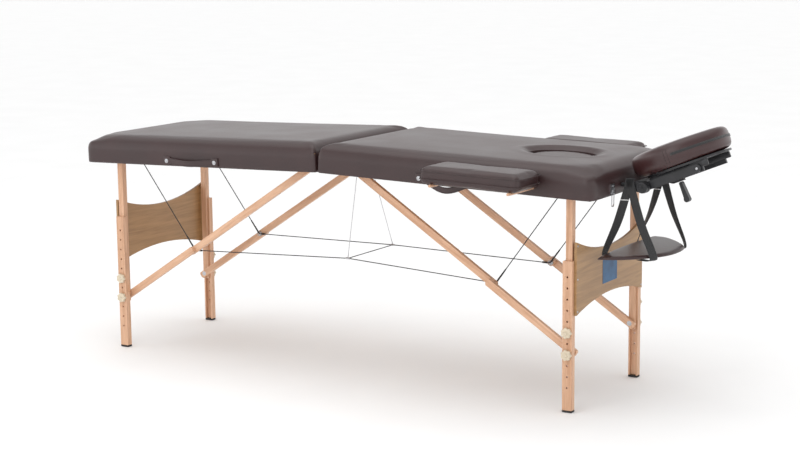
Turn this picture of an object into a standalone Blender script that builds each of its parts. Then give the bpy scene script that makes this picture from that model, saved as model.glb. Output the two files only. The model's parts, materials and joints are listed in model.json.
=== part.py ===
"""Two-section portable massage table: wooden folding frame, padded top, cables, headrest and arm supports.

+X runs from the foot end to the head end, +Z is up, and the origin is on the floor under the middle of the
object. Each half of the top is built in its own frame, whose origin is on the table's hinge line and whose
Z is zero at the underside. It is then tilted, so that the top is slightly arched, as the taut cables hold it.
"""

import math

import bmesh
import bpy
from mathutils import Matrix, Vector

# Driving dimensions, in metres
HALF_LENGTH = 0.925
HALF_WIDTH = 0.290
SIDE_HEIGHT = 0.087
HINGE_HEIGHT = 0.652
TILT = math.radians(1.455)
HINGE_X = -0.14616
GAP = 0.0003
SIDES = ((-1, "right"), (1, "left"))

SKIRT = 0.004
SEAM_GAP = 0.001
RAIL = 0.020
RAIL_HEIGHT = 0.050
DECK = 0.006
PAD_EDGE = 0.018
END_CORNER = 0.030
SEAM_CORNER = 0.012

HOLE_X = 0.690
HOLE_LONG = 0.105
HOLE_WIDE = 0.085
HOLE_LEDGE = 0.010
PLUG_SUNK = 0.012

KNUCKLE = 0.004
PIN_RADIUS = 0.0016
LEAF = 0.0015
LEAF_REACH = 0.028
LEAF_NEAR = 0.0045
HINGE_HALF_LENGTH = 0.250
FOOT_KNUCKLE_HALF_LENGTH = 0.080
WEB = (0.001, 0.006)

LEG_X = 0.8265
LEG_DEPTH_IN_FRAME = 0.0245
LEG_WIDTH = 0.030
LEG_OUTER_Y = 0.241
LEG_WALL = 0.0097
UPPER_LEG = 0.020
UPPER_LEG_ABOVE_PIVOT = 0.011
LOWER_LEG_TOP = 0.444
UPPER_LEG_END = 0.155
FOOT_CAP = 0.006
FOOT_CAP_PROUD = 0.0005
HOLE_PITCH = 0.0325
HOLE_FIRST = 0.073
HOLE_COUNT = 11
KNOB_HOLES = (3, 5)
KNOB_RADIUS = 0.0165
KNOB_DEPTH = 0.011
KNOB_LOBES = 7
LOBE_DEPTH = 0.0014
BOLT_RADIUS = 0.003

PANEL_HALF_WIDTH = 0.229
PANEL_THICKNESS = 0.008
PANEL_TOP = (0.456, 0.4985)
PANEL_BOTTOM = (0.318, 0.285)
BATTEN_Z = (0.295, 0.485)
BATTEN_GAP = (0.0008, 0.0005)

BRACE_DEPTH = 0.022
BRACE_THICKNESS = 0.013
UPPER_LEG_INNER_Y = 0.2107
BRACE_OUTER_Y = UPPER_LEG_INNER_Y
BRACE_ROOT_X = 0.045
BRACE_FOOT = (0.8235, 0.175)
BRACE_END = 0.017
BRACE_KNEE_END = 0.009
BRACE_ROOT_END = 0.011
BRACE_CORNER = 0.004
SHAFT_RADIUS = 0.004
BRACE_SHAFT_HALF_LENGTH = 0.210
LUG_Y = (0.150, 0.155)
LUG_BEYOND = 0.007
LUG_BELOW = 0.008

CABLE_RADIUS = 0.0013
CABLE_Y = 0.178
CABLE_EYE = 0.003
CABLE_ANCHOR_X = 0.812
CABLE_ANCHOR_Z = RAIL_HEIGHT - 0.002
JUNCTION = (0.010, 0.134, 0.361)
HEAD_HANGER = (0.036, -0.100)
FOOT_HANGER = (-0.070, 0.100)

POST_Y = 0.095
POST_RADIUS = 0.006
POST_ENDS = (-0.042, 0.025)
BASE_X = (0.020, 0.042)
BASE_Z = (-0.012, 0.004)
EAR_Y = (0.1000, 0.1120)
EAR_ROOT_X = 0.030
EAR_ROOT_HALF_HEIGHT = 0.012
HUB_CAP_DEPTH = 0.012
HUB_X = 1.000
HUB_Z = 0.0245
HUB_RADIUS = 0.017
HEADREST_TILT = math.radians(23.5)
ARM_LENGTH = 0.165
ARM_Y = (0.0905, 0.0985)
ARM_HALF_HEIGHT = 0.012
ARM_BRIDGE = ((0.050, -0.010), (0.080, -0.004))
LEVER_LUG = ((0.052, -0.006, -0.018), (0.078, 0.006, -0.006))
LEVER_PIVOT = (0.065, -0.024)
LEVER_HALF_WIDTH = 0.010
CUSHION_CENTRE = 0.108
CUSHION_LONG = 0.142
CUSHION_WIDE = 0.146
CUSHION_THICK = 0.055
CUSHION_HOLE = (0.066, 0.052)
CUSHION_SLOT = 0.022
PLATFORM_Z = 0.019
PLATFORM_THICK = 0.006
PLATFORM_RADII = (0.126, 0.118)
PLATFORM_HOLE = (0.060, 0.046)
PLATFORM_EAR_X = (-0.020, 0.016)
PLATFORM_EAR_Y = (0.0815, 0.0900)
PLATFORM_EAR_DROP = 0.012

SHELF_Z = 0.445
SHELF_THICK = 0.013
SHELF_HALF_WIDTH = 0.210
SHELF_BACK_X = 0.905
SHELF_DEPTH = 0.165
SHELF_HOLLOW = 0.022
STRAP_Y = 0.1145
STRAP_WIDTH = 0.025
STRAP_THICK = 0.002
STRAP_TOP = (0.960, 0.664)
STRAP_LOOP = (0.0048, 0.0068)
STRAP_LOOP_INNER_Y = 0.1003
STRAP_SPREAD = 0.012
STRAP_BEND = 0.030
STRAP_FORK = -0.045

ARMREST_X = (0.430, 0.765)
ARMREST_Y = (0.296, 0.440)
ARMREST_Z = (0.034, 0.0745)
DOWEL_X = (0.490, 0.740)
DOWEL_Z = 0.0233
DOWEL_RADIUS = 0.005
DOWEL_START_Y = 0.268
BOARD_INSET = 0.006
BOARD_SUNK = 0.0007

HANDLE_Z = 0.016
HANDLE_HALF_WIDTH = 0.009
HANDLE_THICK = 0.005
HEAD_HANDLE = (0.358, 0.200, 0.024)
FOOT_HANDLE = (0.373, 0.211, 0.012)

LATCH_Y = 0.160
LATCH_PLATE = (0.011, 0.003)
LATCH_Z = (0.006, 0.034)
LOOP_Y = 0.008
LOOP_Z = (-0.032, 0.012)
LOOP_WIRE = 0.002
LOOP_X = (0.002, 0.0045)
PAST = 0.010


def material(name, colour, roughness, metallic=0.0):
    """A Principled material with one colour."""
    made = bpy.data.materials.new(name)
    made.use_nodes = True
    shader = made.node_tree.nodes["Principled BSDF"]
    shader.inputs["Base Color"].default_value = (*colour, 1.0)
    shader.inputs["Roughness"].default_value = roughness
    shader.inputs["Metallic"].default_value = metallic
    return made


def add_object(name, mesh, finish, parent):
    """Link a mesh as a named object under its parent empty."""
    made = bpy.data.objects.new(name, mesh)
    mesh.materials.clear()
    mesh.materials.append(finish)
    bpy.context.scene.collection.objects.link(made)
    made.parent = parent
    return made


def empty(name, location, tilt=0.0):
    """An empty on a joint's axis, with its Y turned by the tilt."""
    made = bpy.data.objects.new(name, None)
    made.location = location
    made.rotation_euler = (0.0, tilt, 0.0)
    bpy.context.scene.collection.objects.link(made)
    bpy.context.view_layer.update()
    return made


def mesh_from(bm, name):
    """Finish a bmesh as a mesh whose faces point out."""
    bmesh.ops.recalc_face_normals(bm, faces=bm.faces)
    mesh = bpy.data.meshes.new(name)
    bm.to_mesh(mesh)
    bm.free()
    return mesh


def bevel(made, width, segments=1, angle=40.0):
    """Round an object's sharp edges."""
    rounding = made.modifiers.new("edges", "BEVEL")
    rounding.width = width
    rounding.segments = segments
    rounding.limit_method = "ANGLE"
    rounding.angle_limit = math.radians(angle)


def prism(name, outline, low, high, axis, finish, parent):
    """Extrude a closed outline along an axis. Its pairs are the other two axes, in X, Y, Z order."""
    places = {
        "X": lambda a, b, c: (c, a, b),
        "Y": lambda a, b, c: (a, c, b),
        "Z": lambda a, b, c: (a, b, c),
    }[axis]
    bm = bmesh.new()
    ring = [bm.verts.new(places(a, b, low)) for a, b in outline]
    face = bm.faces.new(ring)
    copied = bmesh.ops.extrude_face_region(bm, geom=[face])["geom"]
    step = Vector(places(0.0, 0.0, high - low))
    moved = [v for v in copied if isinstance(v, bmesh.types.BMVert)]
    bmesh.ops.translate(bm, vec=step, verts=moved)
    return add_object(name, mesh_from(bm, name), finish, parent)


def box(name, low, high, finish, parent):
    """A box between two corners."""
    outline = [(low[0], low[1]), (high[0], low[1]), (high[0], high[1]), (low[0], high[1])]
    return prism(name, outline, low[2], high[2], "Z", finish, parent)


def arc(centre, radius, start, end, steps):
    """Points on a circle or, with a pair of radii, an ellipse. Angles are in degrees."""
    wide, high = radius if isinstance(radius, tuple) else (radius, radius)
    turns = [math.radians(start + (end - start) * i / steps) for i in range(steps + 1)]
    return [(centre[0] + wide * math.cos(t), centre[1] + high * math.sin(t)) for t in turns]


def round_outline(centre, radius, sides):
    """A closed round or oval outline."""
    return arc(centre, radius, 0.0, 360.0, sides)[:-1]


def rounded_rectangle(low, high, radii, steps):
    """A rectangle whose corners, from the lower left and anticlockwise, have the given radii."""
    corners = [
        (low[0], low[1], 180.0),
        (high[0], low[1], 270.0),
        (high[0], high[1], 0.0),
        (low[0], high[1], 90.0),
    ]
    outline = []
    for (x, y, start), radius in zip(corners, radii):
        centre = (x + radius if x == low[0] else x - radius, y + radius if y == low[1] else y - radius)
        outline += arc(centre, radius, start, start + 90.0, steps)
    return outline


def rod(name, start, end, radius, sides, finish, parent):
    """A round bar between two points."""
    start, end = Vector(start), Vector(end)
    bm = bmesh.new()
    bmesh.ops.create_cone(
        bm, cap_ends=True, segments=sides, radius1=radius, radius2=radius, depth=(end - start).length
    )
    turn = (end - start).to_track_quat("Z", "Y").to_matrix().to_4x4()
    bmesh.ops.transform(bm, matrix=Matrix.Translation((start + end) / 2) @ turn, verts=bm.verts)
    return add_object(name, mesh_from(bm, name), finish, parent)


def ball(name, centre, radius, finish, parent):
    """A small sphere."""
    bm = bmesh.new()
    bmesh.ops.create_uvsphere(bm, u_segments=8, v_segments=5, radius=radius)
    bmesh.ops.translate(bm, vec=Vector(centre), verts=bm.verts)
    return add_object(name, mesh_from(bm, name), finish, parent)


def hide_tool(made):
    """Mark an object as a cutter or guide, which isn't part of the table."""
    made.hide_render = True
    made.display_type = "WIRE"


def combine(made, other, operation):
    """Cut or join with a Boolean, and hide the tool."""
    step = made.modifiers.new(operation.lower(), "BOOLEAN")
    step.operation = operation
    step.object = other
    hide_tool(other)


def cut(made, tool):
    """Cut a tool out of an object."""
    combine(made, tool, "DIFFERENCE")


def weld(made, other):
    """Join another shape on."""
    combine(made, other, "UNION")


def half_outline(sign, inset):
    """The plan of one half, inset from its cover's outer face. The corners at the seam are tighter."""
    low, high = sorted((sign * (SEAM_GAP + inset), sign * (HALF_LENGTH - inset)))
    end, seam = END_CORNER - inset, SEAM_CORNER - inset
    radii = [end, seam, seam, end] if sign < 0 else [seam, end, end, seam]
    y = HALF_WIDTH - inset
    return rounded_rectangle((low, -y), (high, y), radii, 5)


def half_frame(side, finishes):
    """The wooden frame and the deck of one half, with the holes that its fittings use."""
    name, sign, parent = side["name"], side["sign"], side["empty"]
    inner_x = SEAM_GAP + SKIRT + GAP
    outer_x = HALF_LENGTH - SKIRT - GAP
    outline = half_outline(sign, SKIRT + GAP)
    frame = prism(f"{name}_frame", outline, 0, RAIL_HEIGHT, "Z", finishes["wood"], parent)
    pocket = sorted((sign * (inner_x + RAIL), sign * (outer_x - RAIL)))
    rail_y = HALF_WIDTH - SKIRT - GAP - RAIL
    pocket_low = (pocket[0], -rail_y, -PAST)
    pocket_high = (pocket[1], rail_y, RAIL_HEIGHT + PAST)
    cut(frame, box(f"{name}_pocket", pocket_low, pocket_high, finishes["wood"], parent))
    low = RAIL_HEIGHT + GAP
    deck = prism(f"{name}_deck", outline, low, low + DECK, "Z", finishes["ply"], parent)
    return frame, deck


def half_pad(side, finishes):
    """The foam and its cover, which wraps down over the sides of the frame."""
    name, sign, parent = side["name"], side["sign"], side["empty"]
    low, high = sorted((sign * SEAM_GAP, sign * HALF_LENGTH))
    outline = half_outline(sign, 0.0)
    bm = bmesh.new()
    levels = [(0.0, 0.0)]
    levels += [
        (SIDE_HEIGHT - PAD_EDGE + PAD_EDGE * math.sin(turn), PAD_EDGE * (1 - math.cos(turn)))
        for turn in (math.radians(22.5 * i) for i in range(5))
    ]
    middle = ((low + high) / 2, 0.0)
    half = ((high - low) / 2, HALF_WIDTH)
    rings = []
    for height, inset in levels:
        scale = ((half[0] - inset) / half[0], (half[1] - inset) / half[1])
        spots = [
            (middle[0] + (x - middle[0]) * scale[0], (y - middle[1]) * scale[1], height) for x, y in outline
        ]
        rings.append([bm.verts.new(spot) for spot in spots])
    for lower, upper in zip(rings, rings[1:]):
        for i in range(len(outline)):
            j = (i + 1) % len(outline)
            bm.faces.new((lower[i], lower[j], upper[j], upper[i]))
    bm.faces.new(rings[0][::-1])
    bm.faces.new(rings[-1])
    pad = add_object(f"{name}_pad", mesh_from(bm, f"{name}_pad"), finishes["vinyl"], parent)
    top = RAIL_HEIGHT + 2 * GAP + DECK
    cut(pad, prism(f"{name}_cavity", half_outline(sign, SKIRT), -PAST, top, "Z", finishes["vinyl"], parent))
    return pad


def face_opening(side, pad, deck, finishes):
    """The face hole in the head half, and the padded plug that rests on the deck inside it."""
    parent = side["empty"]
    centre = (HOLE_X, 0.0)
    wide = round_outline(centre, (HOLE_LONG, HOLE_WIDE), 32)
    narrow = round_outline(centre, (HOLE_LONG - HOLE_LEDGE, HOLE_WIDE - HOLE_LEDGE), 32)
    cut(pad, prism("hole_in_pad", wide, 0.03, 0.12, "Z", finishes["vinyl"], parent))
    cut(deck, prism("hole_in_deck", narrow, 0.03, 0.06, "Z", finishes["ply"], parent))
    seat = RAIL_HEIGHT + 2 * GAP + DECK
    clear = 2 * GAP
    outline = round_outline(centre, (HOLE_LONG - clear, HOLE_WIDE - clear), 32)
    pivot = empty("plug_seat", side["empty"].matrix_world @ Vector((HOLE_X, 0.0, seat)), TILT)
    local = [(x - HOLE_X, y) for x, y in outline]
    plug = prism("face_plug", local, 0.0, SIDE_HEIGHT - PLUG_SUNK - seat, "Z", finishes["vinyl"], pivot)
    bevel(plug, 0.006, 2, 60.0)


def fitting_holes(side, frame, pad, finishes):
    """Holes for the headrest's posts in the head end, and for the armrests' dowels in the sides."""
    parent = side["empty"]
    for y in (-POST_Y, POST_Y):
        for target, label in ((frame, "rail"), (pad, "skirt")):
            start = (HALF_LENGTH - 0.05, y, HUB_Z)
            end = (HALF_LENGTH + 0.02, y, HUB_Z)
            name = f"post_hole_{label}_{y}"
            cut(target, rod(name, start, end, POST_RADIUS + GAP, 16, finishes["wood"], parent))
    for x in DOWEL_X:
        for sign in (-1, 1):
            for target, label in ((frame, "rail"), (pad, "skirt")):
                start = (x, sign * 0.25, DOWEL_Z)
                end = (x, sign * 0.31, DOWEL_Z)
                name = f"dowel_hole_{label}_{x}_{sign}"
                cut(target, rod(name, start, end, DOWEL_RADIUS + GAP, 12, finishes["wood"], parent))


def hinge_leaves(sides, finishes):
    """The long hinge under the seam: the head leaf carries the pin and the outer knuckles."""
    head, foot = sides
    steel = finishes["steel"]
    drop = -KNUCKLE
    half, inner = HINGE_HALF_LENGTH, FOOT_KNUCKLE_HALF_LENGTH
    leaf_z = (-GAP - LEAF, -GAP)
    web_z = (-GAP - LEAF - WEB[0], -GAP)
    leaf_low, leaf_high = (LEAF_NEAR, -half, leaf_z[0]), (LEAF_REACH, half, leaf_z[1])
    leaf = box("hinge_leaf_head", leaf_low, leaf_high, steel, head["empty"])
    for sign in (-1, 1):
        ends = [(0.0, sign * (inner + GAP), drop), (0.0, sign * half, drop)]
        weld(leaf, rod(f"head_knuckle_{sign}", *ends, KNUCKLE, 12, steel, head["empty"]))
        strip = sorted((sign * (inner + GAP), sign * half))
        web_low, web_high = (WEB[0], strip[0], web_z[0]), (WEB[1], strip[1], web_z[1])
        weld(leaf, box(f"head_web_{sign}", web_low, web_high, steel, head["empty"]))
    weld(leaf, rod("hinge_pin", (0.0, -half, drop), (0.0, half, drop), PIN_RADIUS, 12, steel, head["empty"]))
    leaf_low, leaf_high = (-LEAF_REACH, -half, leaf_z[0]), (-LEAF_NEAR, half, leaf_z[1])
    other = box("hinge_leaf_foot", leaf_low, leaf_high, steel, foot["empty"])
    web_low, web_high = (-WEB[1], -inner, web_z[0]), (-WEB[0], inner, web_z[1])
    weld(other, box("foot_web", web_low, web_high, steel, foot["empty"]))
    ends = [(0.0, -inner, drop), (0.0, inner, drop)]
    weld(other, rod("foot_knuckle", *ends, KNUCKLE, 12, steel, foot["empty"]))
    bore = PIN_RADIUS + 2 * GAP
    cut(other, rod("pin_bore", (0.0, -half, drop), (0.0, half, drop), bore, 12, steel, foot["empty"]))


def lower_leg(name, side, sy, slide, finishes):
    """One channel-shaped lower leg with its row of holes, its rubber foot and its two knobs."""
    x = side["sign"] * LEG_X + HINGE_X
    half = LEG_WIDTH / 2
    groove = UPPER_LEG / 2 + GAP
    outer, floor, inner = LEG_OUTER_Y, LEG_OUTER_Y - LEG_WALL, LEG_OUTER_Y - UPPER_LEG
    spots = [(-half, outer), (half, outer), (half, inner), (groove, inner)]
    spots += [(groove, floor), (-groove, floor), (-groove, inner), (-half, inner)]
    origin = slide.location
    outline = [(x + a - origin.x, sy * b - origin.y) for a, b in spots]
    bottom, top = FOOT_CAP + GAP - origin.z, LOWER_LEG_TOP - origin.z
    leg = prism(name, outline, bottom, top, "Z", finishes["wood"], slide)
    for i in range(HOLE_COUNT):
        z = HOLE_FIRST + i * HOLE_PITCH - origin.z
        start = (x - origin.x, sy * (outer + 0.005) - origin.y, z)
        end = (x - origin.x, sy * (floor - 0.002) - origin.y, z)
        cut(leg, rod(f"{name}_hole_{i}", start, end, BOLT_RADIUS + GAP, 8, finishes["wood"], slide))
    near, far = sorted((sy * inner, sy * outer))
    reach = half + FOOT_CAP_PROUD
    low = (x - reach - origin.x, near - FOOT_CAP_PROUD - origin.y, -origin.z)
    high = (x + reach - origin.x, far + FOOT_CAP_PROUD - origin.y, FOOT_CAP - origin.z)
    cap = box(name.replace("lower_leg", "foot_cap"), low, high, finishes["rubber"], slide)
    bevel(cap, 0.001)
    for number, hole in enumerate(KNOB_HOLES):
        knob(f"{name.replace('lower_leg', 'knob')}_{number + 1}", x, sy, hole, slide, finishes)


def knob(name, x, sy, hole, slide, finishes):
    """A lobed clamp knob on its bolt, which runs through a hole of the lower leg to the upper leg's face."""
    z = HOLE_FIRST + hole * HOLE_PITCH
    centre = (x - slide.location.x, z - slide.location.z)
    sides = KNOB_LOBES * 6
    outline = []
    for i in range(sides):
        turn = 2 * math.pi * i / sides
        radius = KNOB_RADIUS - LOBE_DEPTH * (1 - math.cos(KNOB_LOBES * turn))
        outline.append((centre[0] + radius * math.cos(turn), centre[1] + radius * math.sin(turn)))
    near, far = sorted((sy * (LEG_OUTER_Y + GAP), sy * (LEG_OUTER_Y + KNOB_DEPTH)))
    shift = slide.location.y
    made = prism(name, outline, near - shift, far - shift, "Y", finishes["knob"], slide)
    bevel(made, 0.0015, 1, 60.0)
    tip = sy * (LEG_OUTER_Y - LEG_WALL + GAP / 2)
    start = (centre[0], tip - shift, centre[1])
    end = (centre[0], sy * (LEG_OUTER_Y + 0.004) - shift, centre[1])
    weld(made, rod(f"{name}_bolt", start, end, BOLT_RADIUS, 8, finishes["steel"], slide))


def leg_pair(side, finishes):
    """The two upper legs of one end, the curved panel that joins them, and the sliding lower legs."""
    name, sign = side["name"], side["sign"]
    pivot = side["leg_pivot"]
    origin = pivot.location
    x = sign * LEG_X + HINGE_X - origin.x
    half = UPPER_LEG / 2
    for sy, word in SIDES:
        low_y, high_y = sorted((sy * (UPPER_LEG_INNER_Y + GAP), sy * (UPPER_LEG_INNER_Y + GAP + UPPER_LEG)))
        low = (x - half, low_y, UPPER_LEG_END - origin.z)
        high = (x + half, high_y, UPPER_LEG_ABOVE_PIVOT)
        leg = box(f"{name}_upper_leg_{word}", low, high, finishes["wood"], pivot)
        start, end = (0.0, low_y - PAST, 0.0), (0.0, high_y + PAST, 0.0)
        hole = rod(f"{name}_{word}_shaft_hole", start, end, SHAFT_RADIUS + GAP, 12, finishes["wood"], pivot)
        cut(leg, hole)
        slide = empty(f"{name}_{word}_slide", (sign * LEG_X + HINGE_X, sy * LEG_OUTER_Y, LOWER_LEG_TOP))
        lower_leg(f"{name}_lower_leg_{word}", side, sy, slide, finishes)
    end_panel(side, pivot, finishes)


def end_panel(side, pivot, finishes):
    """The curved plywood panel, with a batten behind each edge that is screwed to the upper leg."""
    sign, origin = side["sign"], pivot.location
    steps = 14
    spread = [PANEL_HALF_WIDTH * (2 * i / steps - 1) for i in range(steps + 1)]

    def edge(limits, y):
        """The height of a curved edge at a distance from the panel's middle."""
        return limits[0] + (limits[1] - limits[0]) * (y / PANEL_HALF_WIDTH) ** 2 - origin.z

    outline = [(y, edge(PANEL_BOTTOM, y)) for y in spread]
    outline += [(y, edge(PANEL_TOP, y)) for y in reversed(spread)]
    near = LEG_WIDTH / 2 + GAP
    low, high = sorted((sign * near, sign * (near + PANEL_THICKNESS)))
    panel = prism(f"{side['name']}_end_panel", outline, low, high, "X", finishes["ply"], pivot)
    for sy in (-1, 1):
        ends = sorted((sign * (UPPER_LEG / 2 + GAP), sign * (near + 0.001)))
        inner, outer = UPPER_LEG_INNER_Y + BATTEN_GAP[0], LEG_OUTER_Y - UPPER_LEG - BATTEN_GAP[1]
        span = sorted((sy * inner, sy * outer))
        low_corner = (ends[0], span[0], BATTEN_Z[0] - origin.z)
        high_corner = (ends[1], span[1], BATTEN_Z[1] - origin.z)
        weld(panel, box(f"batten_{side['name']}_{sy}", low_corner, high_corner, finishes["wood"], pivot))


def bar(name, start, end, y_low, y_high, overhang, finish, parent):
    """A flat bar in an XZ plane between two pivots, running past each by the overhang, with cut corners."""
    origin = parent.location
    a = Vector((start[0] - origin.x, start[1] - origin.z))
    b = Vector((end[0] - origin.x, end[1] - origin.z))
    along = (b - a).normalized()
    across = Vector((-along.y, along.x)) * BRACE_DEPTH / 2
    a_end, b_end = a - along * overhang[0], b + along * overhang[1]
    spots = []
    for tip, way in ((a_end, 1), (b_end, -1)):
        back = along * BRACE_CORNER * way
        spots += [
            tip + back + across * way,
            tip + across * way * 0.6,
            tip - across * way * 0.6,
            tip + back - across * way,
        ]
    outline = [(p.x, p.y) for p in spots]
    return prism(name, outline, y_low, y_high, "Y", finish, parent)


def braces(side, finishes):
    """The folding braces of one half and the rod they hang from. The knee is on the straight brace's line."""
    name, sign = side["name"], side["sign"]
    root, knee, foot = side["brace_root"], side["knee"], side["brace_foot"]
    upper_pivot = empty(f"{name}_brace_root", (root[0], 0.0, root[1]))
    lower_pivot = empty(f"{name}_brace_foot", (foot[0], 0.0, foot[1]))
    for sy, word in SIDES:
        outer = sorted((sy * BRACE_OUTER_Y, sy * (BRACE_OUTER_Y - BRACE_THICKNESS)))
        shift = BRACE_THICKNESS + GAP
        inner = sorted((sy * (BRACE_OUTER_Y - shift), sy * (BRACE_OUTER_Y - shift - BRACE_THICKNESS)))
        wood = finishes["wood"]
        bar(f"{name}_lower_brace_{word}", foot, knee, *outer, (BRACE_END, BRACE_END), wood, lower_pivot)
        ends_past = (BRACE_ROOT_END, BRACE_KNEE_END)
        upper = bar(f"{name}_upper_brace_{word}", root, knee, *inner, ends_past, wood, upper_pivot)
        ends = [(0.0, inner[0] - PAST, 0.0), (0.0, inner[1] + PAST, 0.0)]
        cut(upper, rod(f"{name}_{word}_root_hole", *ends, SHAFT_RADIUS + GAP, 12, wood, upper_pivot))
    parent = side["empty"]
    x = sign * BRACE_ROOT_X
    ends = [(x, sy * BRACE_SHAFT_HALF_LENGTH, LEG_DEPTH_IN_FRAME) for sy in (-1, 1)]
    shaft = rod(f"{name}_brace_shaft", *ends, SHAFT_RADIUS, 12, finishes["steel"], parent)
    inner_face = SEAM_GAP + SKIRT + RAIL + 2 * GAP
    for sy in (-1, 1):
        near, far = sorted((sign * inner_face, sign * (BRACE_ROOT_X + LUG_BEYOND)))
        span = sorted((sy * LUG_Y[0], sy * LUG_Y[1]))
        lug_low = (near, span[0], LEG_DEPTH_IN_FRAME - LUG_BELOW)
        lug_high = (far, span[1], RAIL_HEIGHT)
        weld(shaft, box(f"{name}_lug_{sy}", lug_low, lug_high, finishes["steel"], parent))
    reach = HALF_WIDTH - SKIRT - GAP - RAIL - GAP
    ends = [(sign * LEG_X, -reach, LEG_DEPTH_IN_FRAME), (sign * LEG_X, reach, LEG_DEPTH_IN_FRAME)]
    rod(f"{name}_leg_shaft", *ends, SHAFT_RADIUS, 12, finishes["steel"], parent)


def cable_net(sides, finishes):
    """The steel cables, from each end of the top to the knees and on to the middle of the table."""
    steel, parent = finishes["cable"], sides[0]["empty"]
    into_head = sides[0]["empty"].matrix_world.inverted()

    def local(spot):
        """A point in the frame of the half that holds the cables."""
        return tuple(into_head @ Vector(spot))

    runs, eyes = [], []
    for sy in (-1, 1):
        junction = (HINGE_X + JUNCTION[0], sy * JUNCTION[1], JUNCTION[2])
        eyes.append(junction)
        for side in sides:
            knee = (side["knee"][0], sy * CABLE_Y, side["knee"][1])
            eye = Vector((side["sign"] * CABLE_ANCHOR_X, sy * CABLE_Y, CABLE_ANCHOR_Z))
            anchor = side["empty"].matrix_world @ eye
            runs += [(tuple(anchor), knee), (knee, junction)]
            eyes.append(knee)
    runs.append((eyes[0], eyes[3]))
    hangers = ((sides[0], HEAD_HANGER, eyes[0]), (sides[1], FOOT_HANGER, eyes[3]))
    for side, eye, junction in hangers:
        anchor = side["empty"].matrix_world @ Vector((*eye, CABLE_ANCHOR_Z))
        runs.append((tuple(anchor), junction))
    net = rod("cable_net", local(runs[0][0]), local(runs[0][1]), CABLE_RADIUS, 6, steel, parent)
    group = bpy.data.collections.new("cable_guides")
    bpy.context.scene.collection.children.link(group)
    tools = []
    for i, (start, end) in enumerate(runs[1:]):
        tools.append(rod(f"run_{i}", local(start), local(end), CABLE_RADIUS, 6, steel, parent))
    tools += [ball(f"eye_{i}", local(spot), CABLE_EYE, steel, parent) for i, spot in enumerate(eyes)]
    for tool in tools:
        hide_tool(tool)
        group.objects.link(tool)
    joined = net.modifiers.new("union", "BOOLEAN")
    joined.operation = "UNION"
    joined.operand_type = "COLLECTION"
    joined.collection = group


def headrest(side, finishes):
    """The headrest: a base on two posts, two arms, a padded platform, and the lever that clamps them."""
    frame = side["empty"].matrix_world
    base_at = empty("headrest_seat", frame @ Vector((HALF_LENGTH, 0.0, HUB_Z)), TILT)
    headrest_base(base_at, finishes)
    tilted = TILT - HEADREST_TILT
    hub_at = empty("headrest_hub", frame @ Vector((HUB_X, 0.0, HUB_Z)), tilted)
    headrest_arms(hub_at, finishes["plastic"])
    rivet = empty("headrest_rivet", hub_at.matrix_world @ Vector((ARM_LENGTH, 0.0, 0.0)), tilted)
    centre = (CUSHION_CENTRE - ARM_LENGTH, 0.0)
    headrest_platform(rivet, centre, finishes["plastic"])
    face_cushion(rivet, centre, finishes)
    cam_lever(hub_at, finishes)


def headrest_base(base_at, finishes):
    """The bar between the two posts, with an ear and a round hub cap at each end."""
    black = finishes["plastic"]
    reach = HUB_X - HALF_LENGTH
    base_low, base_high = (BASE_X[0], -EAR_Y[1], BASE_Z[0]), (BASE_X[1], EAR_Y[1], BASE_Z[1])
    base = box("headrest_base", base_low, base_high, black, base_at)
    outline = [(EAR_ROOT_X, -EAR_ROOT_HALF_HEIGHT), (reach, -HUB_RADIUS)]
    outline += arc((reach, 0.0), HUB_RADIUS, -75.0, 75.0, 8)
    outline += [(reach, HUB_RADIUS), (EAR_ROOT_X, EAR_ROOT_HALF_HEIGHT)]
    cap_outline = round_outline((reach, 0.0), HUB_RADIUS - 0.001, 20)
    for sy in (-1, 1):
        start, end = [(x, sy * POST_Y, 0) for x in POST_ENDS]
        weld(base, rod(f"post_{sy}", start, end, POST_RADIUS, 16, finishes["steel"], base_at))
        span = sorted((sy * EAR_Y[0], sy * EAR_Y[1]))
        weld(base, prism(f"ear_{sy}", outline, *span, "Y", black, base_at))
        disc = sorted((sy * (EAR_Y[1] - 0.001), sy * (EAR_Y[1] + HUB_CAP_DEPTH)))
        weld(base, prism(f"hub_cap_{sy}", cap_outline, *disc, "Y", black, base_at))


def headrest_arms(hub_at, black):
    """The two arms, the bridge between them and the lug that carries the lever."""
    (low_x, low_z), (high_x, high_z) = ARM_BRIDGE
    arms = box("headrest_arms", (low_x, -ARM_Y[1], low_z), (high_x, ARM_Y[1], high_z), black, hub_at)
    outline = arc((0.0, 0.0), ARM_HALF_HEIGHT, 90.0, 270.0, 8)
    outline += arc((ARM_LENGTH, 0.0), ARM_HALF_HEIGHT, -90.0, 90.0, 8)
    for sy in (-1, 1):
        span = sorted((sy * ARM_Y[0], sy * ARM_Y[1]))
        weld(arms, prism(f"arm_{sy}", outline, *span, "Y", black, hub_at))
    weld(arms, box("lever_lug", *LEVER_LUG, black, hub_at))


def headrest_platform(rivet, centre, black):
    """The oval plate under the cushion, with two ears that the rivets go through."""
    top = PLATFORM_Z + PLATFORM_THICK
    plan = round_outline(centre, PLATFORM_RADII, 32)
    plate = prism("headrest_platform", plan, PLATFORM_Z, top, "Z", black, rivet)
    for sy in (-1, 1):
        span = sorted((sy * PLATFORM_EAR_Y[0], sy * PLATFORM_EAR_Y[1]))
        low = (PLATFORM_EAR_X[0], span[0], -PLATFORM_EAR_DROP)
        high = (PLATFORM_EAR_X[1], span[1], PLATFORM_Z + 0.002)
        weld(plate, box(f"platform_ear_{sy}", low, high, black, rivet))
    hole = round_outline(centre, PLATFORM_HOLE, 24)
    cut(plate, prism("platform_hole", hole, 0.0, 0.05, "Z", black, rivet))


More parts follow.
